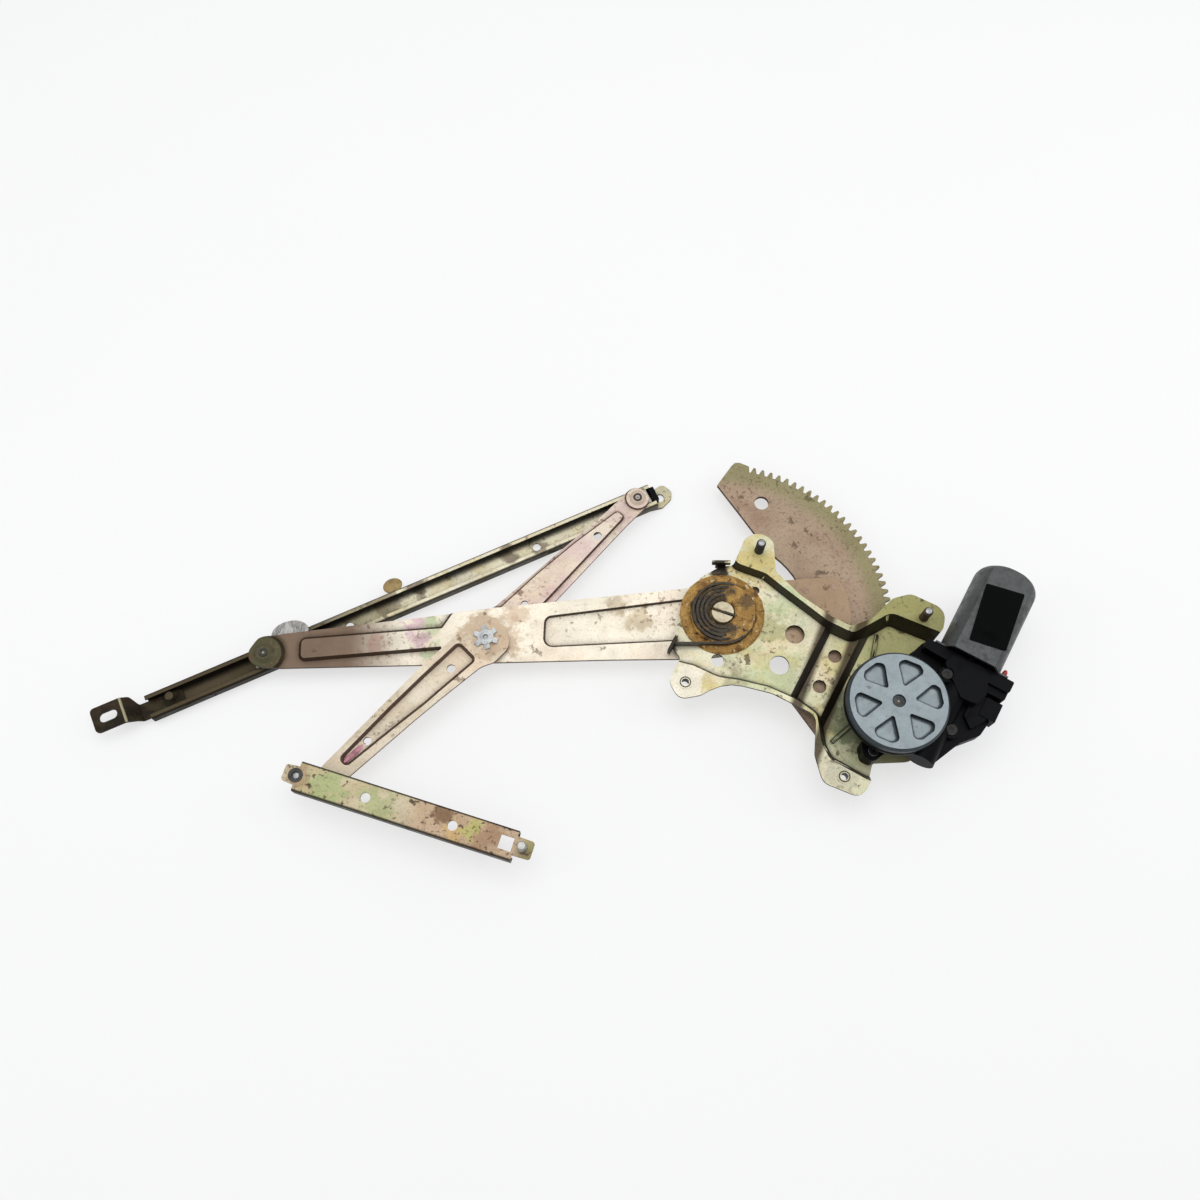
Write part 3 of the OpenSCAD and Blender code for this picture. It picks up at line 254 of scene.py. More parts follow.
def chromate(name, base, bands, dirt, dirt_amount, grain, wall_shade, shift=0.0, metallic=0.35, rough=0.4,
             fades=(), stains=(), rims=(), stripes=(), reach=4.0, corner_amount=0.8,
             steep=(0.975, 0.85), foot=(0.96, 0.6)):
    """Zinc plate under a yellow chromate film, with colour bands, speckle and dirt, and painted
    shade on its walls and in its inner corners.

    A band is (colour, blots per metre, amount), a fade (colour, start, end, amount), a rim (colour,
    radius, width, amount), a stripe (place, angle, width, colour) of painted highlight or painted
    shade and a stain (place, radius, colour, amount, raggedness). Places and sizes are in
    millimetres from the main pivot.
    """
    s = Finish(name, base, metallic, rough, shine=0.22)
    for i, (color, scale, amount) in enumerate(bands):
        s.tint(
            color, s.pattern(scale, 0.45, 0.62, 6, (1, 1.4, 1), 0.4 + i, offset=shift + i * 0.37),
            amount,
        )
    s.tint(scaled(base, 1.25), s.pattern(480, 0.56, 0.7, 3, offset=shift + 0.5), grain * 0.7)
    for color, start, end, amount in fades:
        s.tint(color, s.along(start, end), amount)
    for color, radius, width, amount in rims:
        s.tint(color, s.beyond(radius, width), amount)
    for place, radius, color, amount, ragged in stains:
        s.tint(color, s.near(place, radius, ragged), amount)
    s.tint(dirt, s.pattern(640, 0.53, 0.64, 3, offset=shift), grain * 0.6)
    specks = s.math("MULTIPLY", s.pattern(300, 0.56, 0.62, 5, offset=shift + 1.1),
                    s.pattern(22, 0.42, 0.6, 4, offset=shift + 1.3))
    s.tint(dirt, specks, dirt_amount)
    spots = s.pattern(105, 0.62, 0.67, 9, offset=shift + 0.7)
    s.tint(dirt, spots, dirt_amount)
    for place, angle, width, color in stripes:
        s.tint(color, s.stripe(place, angle, width), 0.9)
    # Painted shade: the wall colour darkens the inner corners and the steep faces (walls, cut
    # edges, flanks of beads and steps).
    s.tint(wall_shade, s.corners(reach, *foot), corner_amount)
    s.tint(wall_shade, s.steep(*steep), 0.92)
    s.roughen(s.pattern(45, 0.4, 0.7, 5, offset=shift), rough + 0.2)
    s.roughen(spots, 0.8)
    s.bump(s.pattern(520, 0.3, 0.7, 3), 0.00004)
    s.bump(spots, 0.00012)
    return s.done()


def plain_metal(name, base, rough, stain, amount, metallic=0.7, edge=None):
    """Turned, headed or pressed steel: fine marks, a little rust, and dirt with painted shade in
    its corners.
    """
    s = Finish(name, base, metallic, rough, shine=0.3)
    s.tint(stain, s.pattern(150, 0.5, 0.7, 5), amount)
    s.tint(scaled(base, 0.55), s.pattern(700, 0.54, 0.68, 3), 0.5)
    # Painted shade, with dirt: a darker stain colour in the inner corners.
    s.tint(scaled(stain, 0.4), s.corners(1.6), 0.85)
    if edge:
        s.tint(edge, s.steep(0.98, 0.8), 0.9)
    s.roughen(s.pattern(220, 0.4, 0.7), rough + 0.25)
    s.bump(s.pattern(900, 0.3, 0.7, 2, (1, 1, 3)), 0.00003)
    return s.done()


def plastic(name, base, rough, dust, amount, lightest=1.6, shine=0.5, crumple=0.0):
    """Moulded plastic: fine grain, dust in patches, rubbed spots."""
    s = Finish(name, base, 0.0, rough, shine=shine)
    dirt = s.pattern(60, 0.56, 0.74, 7)
    s.tint(dust, dirt, amount)
    s.tint(scaled(base, lightest), s.pattern(300, 0.6, 0.75, 2, (0.2, 1, 1), 0.8), 0.4)
    s.roughen(dirt, min(1, rough + 0.3))
    s.bump(s.pattern(1300, 0.3, 0.7, 2), 0.00004)
    if crumple:
        folds = s.pattern(190, 0.38, 0.62, 4, (1, 0.4, 1), 0.7)
        s.bump(folds, crumple * MM)
        s.tint(dust, folds, 0.45)
    return s.done()


def pressed_cover(name, base, edge):
    """Pressed light alloy: bluish grey, freckled, with dark lines of painted shade round its
    recesses.
    """
    s = Finish(name, base, 0.45, 0.42)
    s.tint(scaled(base, 1.2), s.pattern(60, 0.45, 0.7, 4), 0.6)
    s.tint(scaled(base, 0.6), s.pattern(800, 0.56, 0.68, 3), 0.45)
    s.tint((0.12, 0.09, 0.06), s.pattern(200, 0.66, 0.72, 6, offset=0.8), 0.6)
    # Painted shade: the edge colour darkens the steep faces and inner corners, drawing dark lines
    # round the recesses.
    s.tint(edge, s.steep(0.93, 0.7), 0.92)
    s.tint(edge, s.corners(2.6, 0.99, 0.86), 0.95)
    s.roughen(s.pattern(220, 0.4, 0.7), 0.6)
    s.bump(s.pattern(900, 0.3, 0.7, 2), 0.00003)
    return s.done()


def grease(name, base, stains=()):
    """Old orange grease, lumpy, with pale patches of painted highlight and black grit."""
    s = Finish(name, base, 0.0, 0.3)
    s.tint((0.58, 0.34, 0.08), s.pattern(150, 0.46, 0.62, 7), 0.85)
    s.tint((0.16, 0.065, 0.010), s.pattern(110, 0.52, 0.64, 7, offset=0.6), 0.85)
    # Painted highlight: pale yellow patches stand in for the sheen on the wet grease.
    s.tint((0.78, 0.66, 0.40), s.pattern(240, 0.6, 0.67, 6, offset=1.6), 0.75)
    s.tint((0.012, 0.008, 0.004), s.pattern(260, 0.6, 0.65, 7, offset=2.6), 0.9)
    for place, radius, color, amount, ragged in stains:
        s.tint(color, s.near(place, radius, ragged), amount)
    s.roughen(s.pattern(90, 0.4, 0.7), 0.6)
    s.bump(s.pattern(340, 0.3, 0.7, 6), 0.0007)
    return s.done()


# Film colours and dirt colours as they lie on the sheets, and the dark colours of painted shade on
# walls, steps and in corners.
CREAM = (0.80, 0.75, 0.62)
STRAW = (0.62, 0.50, 0.20)
OLIVE = (0.30, 0.29, 0.11)
LEAF = (0.34, 0.47, 0.22)
ROSE = (0.66, 0.50, 0.37)
MAUVE = (0.30, 0.20, 0.155)
RUST = (0.20, 0.115, 0.06)
MUD = (0.11, 0.075, 0.045)
SHADE_TAR = (0.010, 0.007, 0.004)
SHADE_UMBER = (0.035, 0.018, 0.008)
SHADE_PLUM = (0.075, 0.036, 0.024)

# Middles of the two steps across the base plate, beside the motor, along which a dark band of
# painted shade is laid.
STEP_A = (59.0, -38.7)
STEP_B = (79.2, -47.6)

mats = {
    "plate": chromate(
        "zinc_straw", (0.66, 0.64, 0.43),
        [(STRAW, 26, 0.75), (ROSE, 20, 0.35), (LEAF, 30, 0.35), (CREAM, 24, 0.45)],
        MUD, 0.7, 0.35, SHADE_TAR, 0.0, fades=[(OLIVE, (58, -30), (120, -20), 0.9)],
        reach=3.5, steep=(0.988, 0.9),
        # Painted shade: dark bands along the walls of the two steps.
        stripes=[(STEP_A, 67.4, 13, SHADE_UMBER), (STEP_B, 67.4, 13, SHADE_UMBER)],
        stains=[
            ((24, 38), 18, STRAW, 0.7, 0.8), ((34, -9), 12, OLIVE, 0.6, 0.8),
            ((-28, -52), 16, CREAM, 0.9, 0.5), ((8, -43), 12, RUST, 0.4, 0.9),
            ((75, -116), 14, (0.50, 0.48, 0.36), 0.7, 0.5),
            ((92, -70), 26, (0.17, 0.21, 0.11), 0.8, 0.4),
            ((45, 5), 14, LEAF, 0.4, 0.9), ((-62, -40), 20, CREAM, 0.8, 0.6),
            # Painted shadow: black spots at and below the two bent-up tabs.
            ((-1, 31), 8, SHADE_TAR, 0.97, 0.5), ((-37, -25), 8, SHADE_TAR, 0.97, 0.5),
        ],
    ),
    "arm": chromate(
        "zinc_cream", (0.84, 0.77, 0.63), [(ROSE, 22, 0.35), (CREAM, 18, 0.5)],
        RUST, 0.55, 0.25, SHADE_UMBER, 0.4, reach=5.0, foot=(0.99, 0.82),
        fades=[
            ((0.17, 0.112, 0.075), (-214, -20), (-262, -22), 0.97),
            ((0.34, 0.23, 0.14), (-10, 10), (36, 30), 0.95),
        ],
        stains=[
            ((-163, -14), 22, (0.46, 0.32, 0.20), 0.75, 0.8),
            ((-143, 0), 11, (0.60, 0.45, 0.32), 0.7, 0.8),
            ((-60, -1), 10, (0.48, 0.36, 0.20), 0.6, 0.9),
            ((-73, 12), 10, (0.43, 0.34, 0.22), 0.6, 0.9), ((-203, -6), 8, LEAF, 0.6, 0.9),
            ((-200, -27), 7, LEAF, 0.55, 0.9), ((-217, -8), 7, (0.58, 0.32, 0.46), 0.55, 0.9),
            ((-209, -17), 7, (0.54, 0.31, 0.42), 0.6, 0.7),
            ((-240, -19), 8, (0.30, 0.14, 0.12), 0.5, 0.7),
            ((-316, -27), 14.5, (0.075, 0.072, 0.034), 0.97, 0.06),
        ],
    ),
    "low_arm": chromate(
        "zinc_blush", (0.64, 0.55, 0.41), [(ROSE, 24, 0.45), (CREAM, 20, 0.4)],
        RUST, 0.6, 0.3, SHADE_PLUM, 1.9, reach=5.0, foot=(0.99, 0.82),
        stains=[((-163, -14), 20, (0.46, 0.33, 0.22), 0.7, 0.8)],
    ),
    "upper_arm": chromate(
        "zinc_pink", (0.72, 0.60, 0.48),
        [(ROSE, 24, 0.5), (CREAM, 26, 0.4), ((0.55, 0.35, 0.42), 34, 0.4)],
        RUST, 0.5, 0.3, SHADE_PLUM, 1.3, reach=5.0, foot=(0.99, 0.82),
    ),
    "sector": chromate(
        "zinc_dusty", (0.43, 0.31, 0.22),
        [((0.30, 0.19, 0.13), 26, 0.6), ((0.42, 0.33, 0.23), 20, 0.5)],
        MUD, 0.6, 0.5, SHADE_UMBER, 0.9, metallic=0.3, rough=0.5,
        rims=[((0.27, 0.26, 0.12), 106, 12, 0.75)],
    ),
    "rail": chromate(
        "zinc_olive", (0.74, 0.68, 0.50), [(STRAW, 30, 0.4), (OLIVE, 24, 0.3)],
        MUD, 0.6, 0.3, SHADE_TAR, 2.1, reach=7.0, corner_amount=0.9,
        fades=[((0.060, 0.042, 0.018), (-215, 5), (-285, -28), 0.97)],
        stains=[
            ((-149, 51), 8, (0.16, 0.12, 0.08), 0.8, 0.6),
            ((-131, 58), 7, (0.17, 0.12, 0.08), 0.7, 0.6),
            ((-214, 25), 7, MUD, 0.8, 0.7), ((-238, 15), 14, MUD, 0.6, 0.9),
            ((-185, 36), 14, CREAM, 0.6, 0.7),
        ],
    ),
    # Painted shade: the bracket's near-black base colour and dark steep faces stand in for the
    # shade of the tilted plate; the pale stripe is a painted highlight along its bend.
    "rail_end": chromate(
        "zinc_painted_dark", (0.012, 0.008, 0.003), [(OLIVE, 60, 0.06), (RUST, 40, 0.1)],
        MUD, 0.3, 0.2, SHADE_TAR, 4.4, reach=2.0, steep=(0.7, 0.4),
        stripes=[((-410.0, -66.0), 115.05, 2.2, (0.46, 0.42, 0.26))],
    ),
    "rail_head": chromate(
        "zinc_lemon", (0.56, 0.51, 0.36), [(STRAW, 60, 0.4), (LEAF, 50, 0.3)],
        MUD, 0.6, 0.3, SHADE_TAR, 5.1,
    ),
    "low_rail": chromate(
        "zinc_hay", (0.50, 0.42, 0.25), [(STRAW, 30, 0.35), (CREAM, 26, 0.3)],
        MUD, 0.9, 0.45, SHADE_TAR, 3.3,
        fades=[
            ((0.47, 0.33, 0.22), (-218, -137), (-200, -143), 0.85),
            ((0.26, 0.24, 0.09), (-142, -160), (-128, -165), 0.9),
        ],
        stains=[
            ((-262, -122), 15, (0.36, 0.42, 0.19), 0.75, 0.9),
            ((-230, -134), 12, (0.38, 0.42, 0.20), 0.75, 0.9),
            ((-283, -116), 9, (0.34, 0.22, 0.12), 0.6, 0.5), ((-186, -143), 8, RUST, 0.9, 0.9),
            ((-179, -152), 7, (0.62, 0.42, 0.16), 0.6, 0.8),
            ((-158, -156), 12, (0.36, 0.22, 0.13), 0.8, 0.7),
            ((-168, -151), 7, (0.46, 0.46, 0.14), 0.7, 0.7),
        ],
    ),
    "wing": plastic(
        "crumpled_nylon", (0.50, 0.49, 0.46), 0.35, (0.22, 0.20, 0.17), 0.7, crumple=2.0,
    ),
    "pink_rib": plain_metal("pink_rib_film", (0.55, 0.25, 0.30), 0.4, (0.20, 0.09, 0.09), 0.6, 0.3),
    "tab": plain_metal("tab_film", (0.34, 0.24, 0.10), 0.45, (0.14, 0.09, 0.04), 0.6, 0.3),
    "cap": plain_metal("olive_cap", (0.10, 0.088, 0.045), 0.5, (0.05, 0.04, 0.025), 0.6, 0.3),
    "pink_cap": plain_metal("pink_cap", (0.62, 0.50, 0.40), 0.5, (0.40, 0.28, 0.22), 0.5, 0.3),
    "dirty": plain_metal("dirty_steel", (0.60, 0.53, 0.37), 0.45, (0.30, 0.22, 0.12), 0.6, 0.4),
    "steel": plain_metal("bare_steel", (0.42, 0.42, 0.39), 0.34, (0.20, 0.15, 0.10), 0.5),
    "rusty": plain_metal("bronzed_steel", (0.13, 0.085, 0.055), 0.4, (0.06, 0.035, 0.02), 0.6),
    "bright": plain_metal("plated_steel", (0.38, 0.39, 0.39), 0.32, (0.30, 0.29, 0.27), 0.4),
    "dark_steel": plain_metal("oiled_steel", (0.060, 0.058, 0.055), 0.35, (0.10, 0.06, 0.03), 0.4),
    "screw": plain_metal(
        "screw_steel", (0.030, 0.030, 0.030), 0.35, (0.06, 0.05, 0.04), 0.4,
        edge=(0.42, 0.42, 0.40),
    ),
    "spring": plain_metal("spring_strip", (0.040, 0.036, 0.030), 0.3, (0.12, 0.065, 0.02), 0.5),
    "cover": pressed_cover("satin_alloy", (0.27, 0.315, 0.335), (0.020, 0.030, 0.036)),
    "can": plain_metal("galvanised_can", (0.095, 0.10, 0.10), 0.4, (0.05, 0.05, 0.045), 0.6),
    "bronze": plain_metal("sintered_bronze", (0.30, 0.20, 0.09), 0.45, (0.2, 0.12, 0.05), 0.5),
    "copper": plain_metal("copper_parts", (0.50, 0.24, 0.11), 0.4, (0.3, 0.15, 0.07), 0.5),
    "ferrite": plastic("dark_ferrite", (0.05, 0.05, 0.05), 0.6, (0.1, 0.1, 0.1), 0.3),
    "black": plastic(
        "black_housing", (0.0018, 0.002, 0.003), 0.5, (0.007, 0.007, 0.006), 0.3, shine=0.1,
    ),
    "pad": plastic(
        "black_pad", (0.0012, 0.0014, 0.0014), 0.6, (0.004, 0.004, 0.004), 0.3, shine=0.05,
    ),
    "nylon": plastic("natural_nylon", (0.46, 0.45, 0.41), 0.4, (0.26, 0.22, 0.17), 0.5),
    "grease": grease("old_grease", (0.38, 0.20, 0.04)),
    "coil_grease": grease(
        "coil_grease", (0.38, 0.20, 0.04),
        stains=[
            ((-13, 3), 14, (0.030, 0.024, 0.014), 0.92, 0.5),
            ((-4, -15), 10, (0.030, 0.024, 0.014), 0.9, 0.5),
            ((-2, 17), 8, (0.040, 0.030, 0.014), 0.85, 0.6),
            ((17, 8), 6, (0.03, 0.03, 0.02), 0.6, 0.9),
        ],
    ),
    "red": plastic("red_plug", (0.36, 0.02, 0.015), 0.35, (0.15, 0.04, 0.03), 0.3),
}

LOOKS = {
    "plate": ["base_plate", "plate_weld_nuts"],
    "arm": ["lift_arm"],
    "low_arm": ["lower_cross_arm"],
    "upper_arm": ["upper_cross_arm"],
    "sector": ["sector_gear", "sector_rivets"],
    "rail": ["lift_rail", "rail_stop_tab"],
    "rail_end": ["left_rail_bracket"],
    "rail_head": ["right_rail_bracket"],
    "low_rail": ["lower_rail"],
    "cap": ["lift_arm_guide_pin"],
    "pink_cap": ["upper_guide_pin"],
    "dirty": ["main_pivot_pin"],
    "steel": [
        "lower_guide_pin", "output_shaft", "armature_shaft", "drive_plate", "pinion",
        "lower_rail_stud",
    ],
    "bright": ["cross_rivet"],
    "dark_steel": ["upper_stud", "right_stud", "lower_rail_nut"],
    "screw": ["motor_screws"],
    "spring": ["counterbalance_spring"],
    "cover": ["gear_cover"],
    "can": ["motor_can"],
    "bronze": ["pivot_bush", "cross_bush", "end_bearing", "connector_pins"],
    "copper": ["commutator", "armature_core"],
    "ferrite": ["field_magnets"],
    "black": ["gear_housing", "connector_block", "drive_damper", "rail_end_clip", "brush_holder"],
    "pad": ["motor_pad"],
    "nylon": ["lift_arm_guide", "upper_arm_guide", "lower_arm_guide", "worm_wheel"],
    "grease": ["sliding_disc"],
    "red": ["vent_plug"],
}
for look, names in LOOKS.items():
    for name in names:
        mesh = NODES[name].data
        mesh.materials.clear()
        mesh.materials.append(mats[look])

# Rounded sheet edges on what shows: weld the loose triangles, then bevel sharp edges.
EDGES = {
    "base_plate": 0.5, "lift_arm": 0.35, "lower_cross_arm": 0.35, "upper_cross_arm": 0.35,
    "lift_rail": 0.25, "lower_rail": 0.3, "sector_gear": 0.2, "left_rail_bracket": 0.3,
    "right_rail_bracket": 0.3, "gear_housing": 0.5, "gear_cover": 0.5, "motor_can": 0.6,
    "connector_block": 0.3, "cross_rivet": 0.25, "main_pivot_pin": 0.3, "upper_stud": 0.15,
    "right_stud": 0.15, "motor_screws": 0.2, "rail_stop_tab": 0.3,
}
for name, width in EDGES.items():
    obj = NODES[name]
    weld = obj.modifiers.new("weld", "WELD")
    weld.merge_threshold = 0.00001
    bevel = obj.modifiers.new("edges", "BEVEL")
    bevel.width = width * MM
    bevel.segments = 2
    bevel.limit_method = "ANGLE"
    bevel.angle_limit = math.radians(32)

# ---- Modelled pieces ---------------------------------------------------------------------


def start_piece():
    """Nothing selected, so that the next primitive is the only thing worked on."""
    if bpy.context.object and bpy.context.object.mode != "OBJECT":
        bpy.ops.object.mode_set(mode="OBJECT")
    bpy.ops.object.select_all(action="DESELECT")


def apply_all(obj):
    bpy.context.view_layer.objects.active = obj
    for modifier in list(obj.modifiers):
        bpy.ops.object.modifier_apply(modifier=modifier.name)


def lumpy(obj, size, strength):
    """Pushes the surface in and out in soft clouds, as hand-smeared grease lies."""
    clouds = bpy.data.textures.new(obj.name + "_clouds", "CLOUDS")
    clouds.noise_scale = size * MM
    clouds.noise_depth = 2
    made = obj.modifiers.new("lumps", "DISPLACE")
    made.texture = clouds
    made.texture_coords = "LOCAL"
    made.strength = strength * MM
    made.mid_level = 0.5
    apply_all(obj)


def dress(obj, name, look, body):
    """Puts the place into the mesh, then names the piece, paints it and seats it on its body."""
    start_piece()
    obj.select_set(True)
    bpy.context.view_layer.objects.active = obj
    bpy.ops.object.transform_apply(location=True, rotation=True, scale=True)
    bpy.ops.object.shade_smooth_by_angle(angle=math.radians(40))
    obj.name = name
    obj.data.materials.clear()
    obj.data.materials.append(mats[look])
    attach(obj, body)
    return obj


def grease_ring(name, look, center, radius, thick, height, tilt, lump, strength):
    """A ring of grease, flattened and tilted in edit mode, then lumped."""
    start_piece()
    bpy.ops.mesh.primitive_torus_add(
        location=center, major_radius=radius * MM, minor_radius=thick * MM,
        major_segments=128, minor_segments=24,
    )
    made = bpy.context.object
    bpy.ops.object.mode_set(mode="EDIT")
    bpy.ops.mesh.select_all(action="SELECT")
    bpy.ops.transform.resize(value=(1, 1, height / thick))
    bpy.ops.transform.rotate(value=math.radians(tilt), orient_axis="Y", center_override=center)
    bpy.ops.object.mode_set(mode="OBJECT")
    lumpy(made, lump, strength)
    return dress(made, name, look, "base")


def top_at(node, x, y):
    """How high a straight line down meets a piece, in metres."""
    obj = NODES[node]
    back = obj.matrix_world.inverted()
    hit, place, _, _ = obj.ray_cast(back @ Vector((*spot(x, y), 1.0)), Vector((0, 0, -1)))
    return (obj.matrix_world @ place).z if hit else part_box(node)[1].z


def blob(name, look, body, place, size, turn=0.0, lump=0.0):
    """A rounded swelling: a ball flattened and turned in edit mode."""
    start_piece()
    bpy.ops.mesh.primitive_uv_sphere_add(segments=48, ring_count=24, radius=MM, location=place)
    ball = bpy.context.object
    bpy.ops.object.mode_set(mode="EDIT")
    bpy.ops.mesh.select_all(action="SELECT")
    bpy.ops.transform.resize(value=size)
    bpy.ops.transform.rotate(value=-math.radians(turn), orient_axis="Z", center_override=place)
    bpy.ops.object.mode_set(mode="OBJECT")
    if lump:
        lumpy(ball, lump, lump * 0.4)
    return dress(ball, name, look, body)


def ring(name, look, body, place, radius, thick):
    """A rolled ring round a hole or a pin."""
    start_piece()
    bpy.ops.mesh.primitive_torus_add(
        location=place, major_radius=radius * MM, minor_radius=thick * MM,
        major_segments=64, minor_segments=16,
    )
    made = bpy.context.object
    bpy.ops.object.mode_set(mode="EDIT")
    bpy.ops.mesh.select_all(action="SELECT")
    bpy.ops.transform.resize(value=(1, 1, 0.7))
    bpy.ops.object.mode_set(mode="OBJECT")
    return dress(made, name, look, body)


def rivet_eye(name, node, body):
    """The hollow end of a tubular rivet in the middle of a pin's head."""
    mid = middle(node)
    place = (mid.x, mid.y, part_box(node)[1].z)
    ring(name + "_lip", "dark_steel", body, place, 2.5, 0.75)
    blob(name + "_core", "bright", body, place, (0.95, 0.95, 0.7))


bpy.context.view_layer.update()
rivet_eye("lift_arm_rivet", "lift_arm_guide_pin", "lift_arm")
rivet_eye("upper_arm_rivet", "upper_guide_pin", "cross_arms")

# The lift rail's slope in degrees, as it lies at rest.
RAIL_TURN = 25.05
# In millimetres: places from the main pivot, half sizes, and depths below a top.
BUTTON_PLACE = (-380.6, -56.1)
RIB_PLACE = (-249.5, -97.0)
RIB_TURN = 44.6
TAB_PLACE = (-232.6, 26.6)
TAB_SIZE = (7.0, 5.6, 0.9)
TAB_SUNK = 1.3
BORE_DEPTH = 1.6
blob("rail_weld_button", "rail", "lift_rail",
     (*spot(*BUTTON_PLACE), top_at("lift_rail", *BUTTON_PLACE)), (3.4, 3.4, 1.0))
blob("lower_arm_rib", "pink_rib", "cross_arms",
     (*spot(*RIB_PLACE), top_at("lower_cross_arm", *RIB_PLACE)), (9.5, 2.1, 0.9), RIB_TURN)
tab_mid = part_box("rail_stop_tab")[1].z - TAB_SUNK * MM
tab = blob("rounded_stop_tab", "tab", "lift_rail",
           (*spot(*TAB_PLACE), tab_mid), TAB_SIZE, RAIL_TURN)
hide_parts("rail_stop_tab")
nut_mid = middle("lower_rail_nut")
blob("nut_bore_light", "bright", "lower_rail",
     (nut_mid.x, nut_mid.y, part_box("lower_rail_nut")[1].z - BORE_DEPTH * MM), (2.5, 2.5, 0.5))

cover_mid = middle("gear_cover")
cover_top = top_at("gear_cover", (cover_mid.x - PIVOT.x) / MM, (cover_mid.y - PIVOT.y) / MM)
cover_at = (cover_mid.x, cover_mid.y, cover_top)
# Painted shade and highlight: a dark disc stands in for the shade of the recessed centre dimple,
# and a bright pip for its highlight.
blob("cover_dimple_shade", "dark_steel", "base", cover_at, (2.9, 2.9, 0.35))
blob("cover_pip_highlight", "bright", "base", cover_at, (0.9, 0.9, 0.75))

# The ears' height is taken a little beside their bores.
EAR_NUTS = {"left_ear_nut": (-27.3, -50.9), "low_ear_nut": (75.6, -115.5)}
BESIDE_BORE = 5
for nut, (x, y) in EAR_NUTS.items():
    ring(nut + "_lip", "cap", "base",
         (*spot(x, y), top_at("base_plate", x + BESIDE_BORE, y)), 3.5, 0.6)

# Painted highlight: a bright flattened blob on each stud's tip.
for stud in ("upper_stud", "right_stud"):
    tip = middle(stud)
    blob(stud + "_tip", "bright", "base",
         (tip.x, tip.y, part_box(stud)[1].z), (2.3, 2.3, 0.5))


def block(name, look, body, place, size, turn, round_by):
    """A box with rounded edges, sized and turned in edit mode."""
    start_piece()
    bpy.ops.mesh.primitive_cube_add(size=MM, location=place)
    made = bpy.context.object
    bpy.ops.object.mode_set(mode="EDIT")
    bpy.ops.mesh.select_all(action="SELECT")
    bpy.ops.transform.resize(value=size)
    bpy.ops.transform.rotate(value=-math.radians(turn), orient_axis="Z", center_override=place)
    bpy.ops.object.mode_set(mode="OBJECT")
    rounded = made.modifiers.new("rounding", "BEVEL")
    rounded.width = round_by * MM
    rounded.segments = 3
    apply_all(made)
    return dress(made, name, look, body)


# The lift arm's nylon shoe: a block in the rail and a crumpled, rounded wing over its lip.
SHOE_PLACE = (-316.4, -27.4)
SHOE_SIZE = (18, 15, 5)
NECK_SIZE = (18, 10.8, 4.2)
WING_PLACE = (-301.5, -10.0)
WING_SIZE = (13.0, 8.5, 0.75)
shoe_low, shoe_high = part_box("lift_arm_guide")
shoe_mid = shoe_low.z + SHOE_SIZE[2] / 2 * MM
neck_mid = shoe_low.z + (SHOE_SIZE[2] + NECK_SIZE[2] / 2) * MM
shoe = block("nylon_shoe", "nylon", "lift_arm_guide", (*spot(*SHOE_PLACE), shoe_mid),
             SHOE_SIZE, RAIL_TURN, 0.6)
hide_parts("lift_arm_guide")
block("nylon_neck", "nylon", "lift_arm_guide", (*spot(*SHOE_PLACE), neck_mid),
      NECK_SIZE, RAIL_TURN, 0.5)
blob("nylon_wing", "wing", "lift_arm_guide",
     (*spot(*WING_PLACE), shoe_high.z - WING_SIZE[2] * MM), WING_SIZE, 14, 2.6)

disc_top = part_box("sliding_disc")[1].z
spring_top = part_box("counterbalance_spring")[1].z
grease_ring("grease_on_disc", "grease", (PIVOT.x, PIVOT.y, disc_top), 25.6, 3.2, 1.5, 0.0, 4.0, 3.4)
grease_ring("grease_on_spring", "coil_grease",
            (PIVOT.x, PIVOT.y, (disc_top + spring_top) / 2), 15.5, 7.2, 2.0, 7.0, 6.0, 2.2)


# Studs in millimetres: their radius, the plain tip, and the plain lengths of both ends together.
STUD_RADIUS = 3.0
PLAIN_TIP = 1.0
PLAIN_ENDS = 3.2


def thread_rings(name, stud, look, body, pitch=1.0, depth=0.32):
    """The rounded crests of a thread: one ring turned and copied along the stud."""
    low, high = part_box(stud)
    center = (low + high) / 2
    crest = STUD_RADIUS - depth * 0.4
    count = int((high.z - low.z - PLAIN_ENDS * MM) / (pitch * MM))
    start_piece()
    bpy.ops.mesh.primitive_torus_add(
        location=(center.x, center.y, high.z - PLAIN_TIP * MM), major_radius=crest * MM,
        minor_radius=depth * MM, major_segments=32, minor_segments=8,
    )
    crests = bpy.context.object
    rows = crests.modifiers.new("pitch", "ARRAY")
    rows.use_relative_offset = False
    rows.use_constant_offset = True
    rows.constant_offset_displace = (0, 0, -pitch * MM)
    rows.count = count
    apply_all(crests)
    return dress(crests, name, look, body)


thread_rings("upper_stud_thread", "upper_stud", "dark_steel", "base")
thread_rings("right_stud_thread", "right_stud", "rusty", "base")

# ---- Stage -------------------------------------------------------------------------------

# The floor's width in metres, and how much of it shows as plain white.
FLOOR_WIDTH = 30
WHITE_SHARE = 0.62

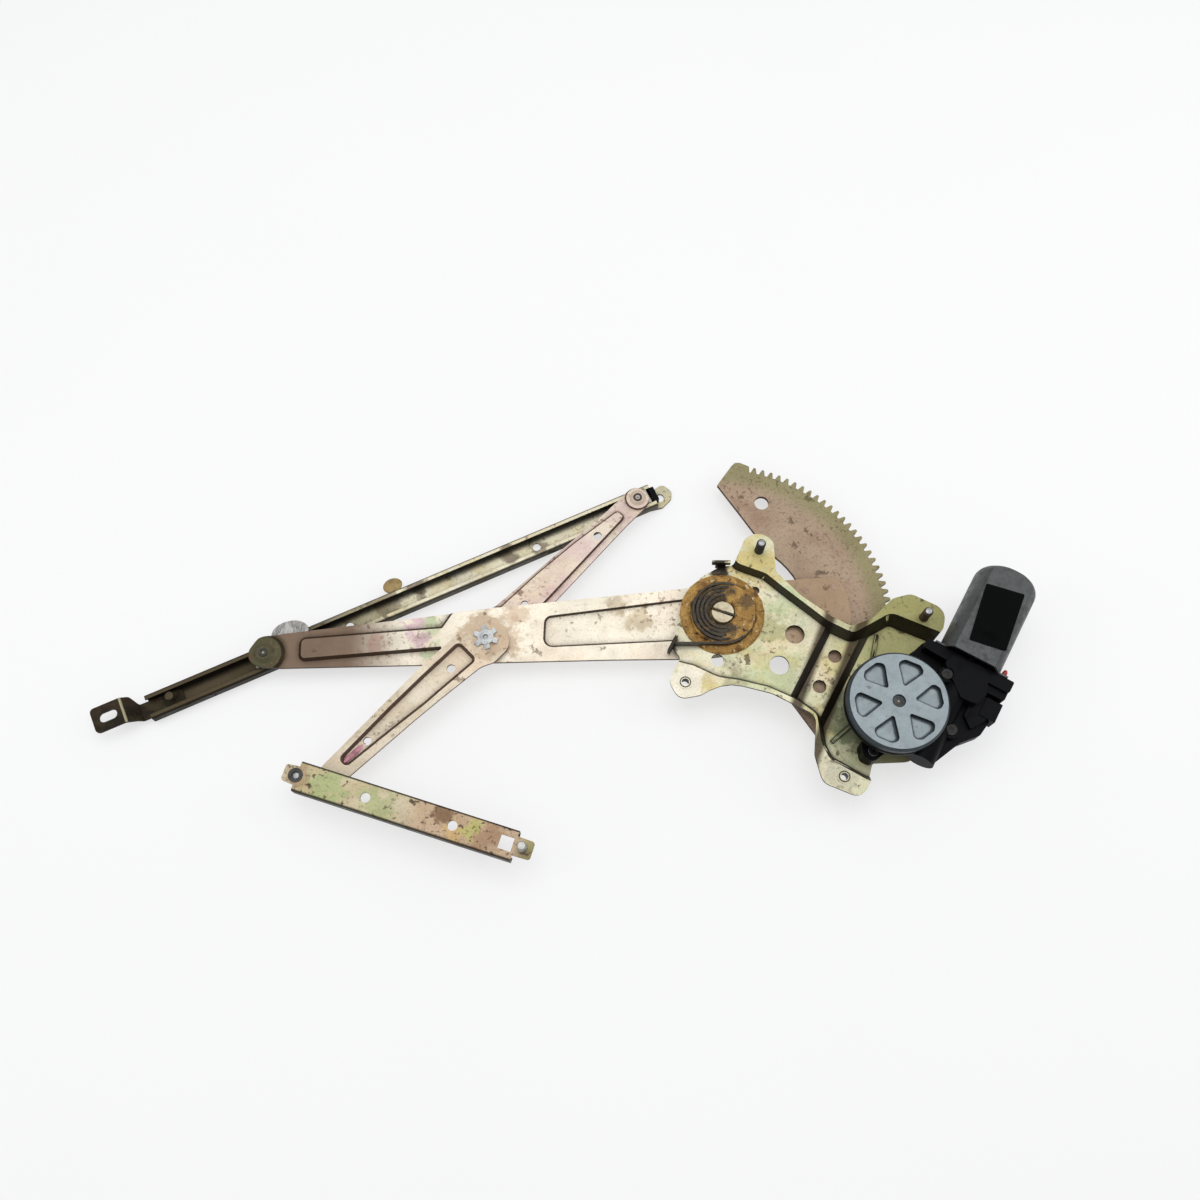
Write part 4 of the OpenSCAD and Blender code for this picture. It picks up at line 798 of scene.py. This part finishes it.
bpy.ops.object.select_all(action="DESELECT")
bpy.ops.mesh.primitive_plane_add(size=FLOOR_WIDTH, location=(0, 0, FLOOR_Z))
floor = bpy.context.object
floor.name = "floor"
floor_look = Finish("pale_floor", (0.93, 0.93, 0.93), 0.0, 0.9)
floor_look.tint((0.90, 0.90, 0.90), floor_look.pattern(3, 0.4, 0.7), 0.4)
floor_mat = floor_look.done()
path = floor_look.node("ShaderNodeLightPath")
seen = floor_look.math("MAXIMUM", path.outputs["Is Camera Ray"],
                       floor_look.math("MAXIMUM", path.outputs["Is Glossy Ray"],
                                       path.outputs["Is Transmission Ray"]))
white = floor_look.node("ShaderNodeEmission", Color=(1, 1, 1, 1), Strength=1.0)
blend = floor_look.node("ShaderNodeMixShader")
floor_look.link(floor_look.math("MULTIPLY", seen, WHITE_SHARE), blend.inputs["Fac"])
floor_look.link(floor_look.bsdf.outputs["BSDF"], blend.inputs[1])
floor_look.link(white.outputs["Emission"], blend.inputs[2])
floor_look.link(blend.outputs["Shader"], floor_look.tree.nodes["Material Output"].inputs["Surface"])
floor.data.materials.append(floor_mat)

scene = bpy.context.scene
world = bpy.data.worlds.new("soft_room")
world.use_nodes = True
world.node_tree.nodes["Background"].inputs["Color"].default_value = (0.97, 0.98, 1.0, 1)
world.node_tree.nodes["Background"].inputs["Strength"].default_value = 0.55
scene.world = world


def soft_light(name, place, aim, size, power):
    data = bpy.data.lights.new(name, "AREA")
    data.shape = "RECTANGLE"
    data.size = size[0]
    data.size_y = size[1]
    data.energy = power
    lamp = bpy.data.objects.new(name, data)
    scene.collection.objects.link(lamp)
    lamp.location = place
    lamp.rotation_euler = (Vector(aim) - Vector(place)).to_track_quat("-Z", "Y").to_euler()


soft_light("overhead", (-0.12, 0.25, 1.4), (-0.12, 0.0, 0.0), (1.3, 0.9), 8)
soft_light("left_fill", (-1.2, -0.2, 0.9), (-0.1, 0.0, 0.0), (0.7, 0.7), 2)
soft_light("right_fill", (0.9, 0.2, 0.7), (0.0, 0.0, 0.0), (0.5, 0.6), 2)

# The frame is shifted up by a small share of its width, which sets the part lower in it.
FRAME_WIDTH = 1200
VIEW_SHIFT = 50

camera_data = bpy.data.cameras.new("camera")
camera_data.sensor_width = 36
camera_data.lens = 33.0
camera_data.shift_y = VIEW_SHIFT / FRAME_WIDTH
camera = bpy.data.objects.new("camera", camera_data)
camera.location = (-0.11647, -0.31333, 0.70954)
camera.rotation_euler = (math.radians(18.63), math.radians(-0.38), 0)
scene.collection.objects.link(camera)
scene.camera = camera
scene.view_settings.view_transform = "Standard"
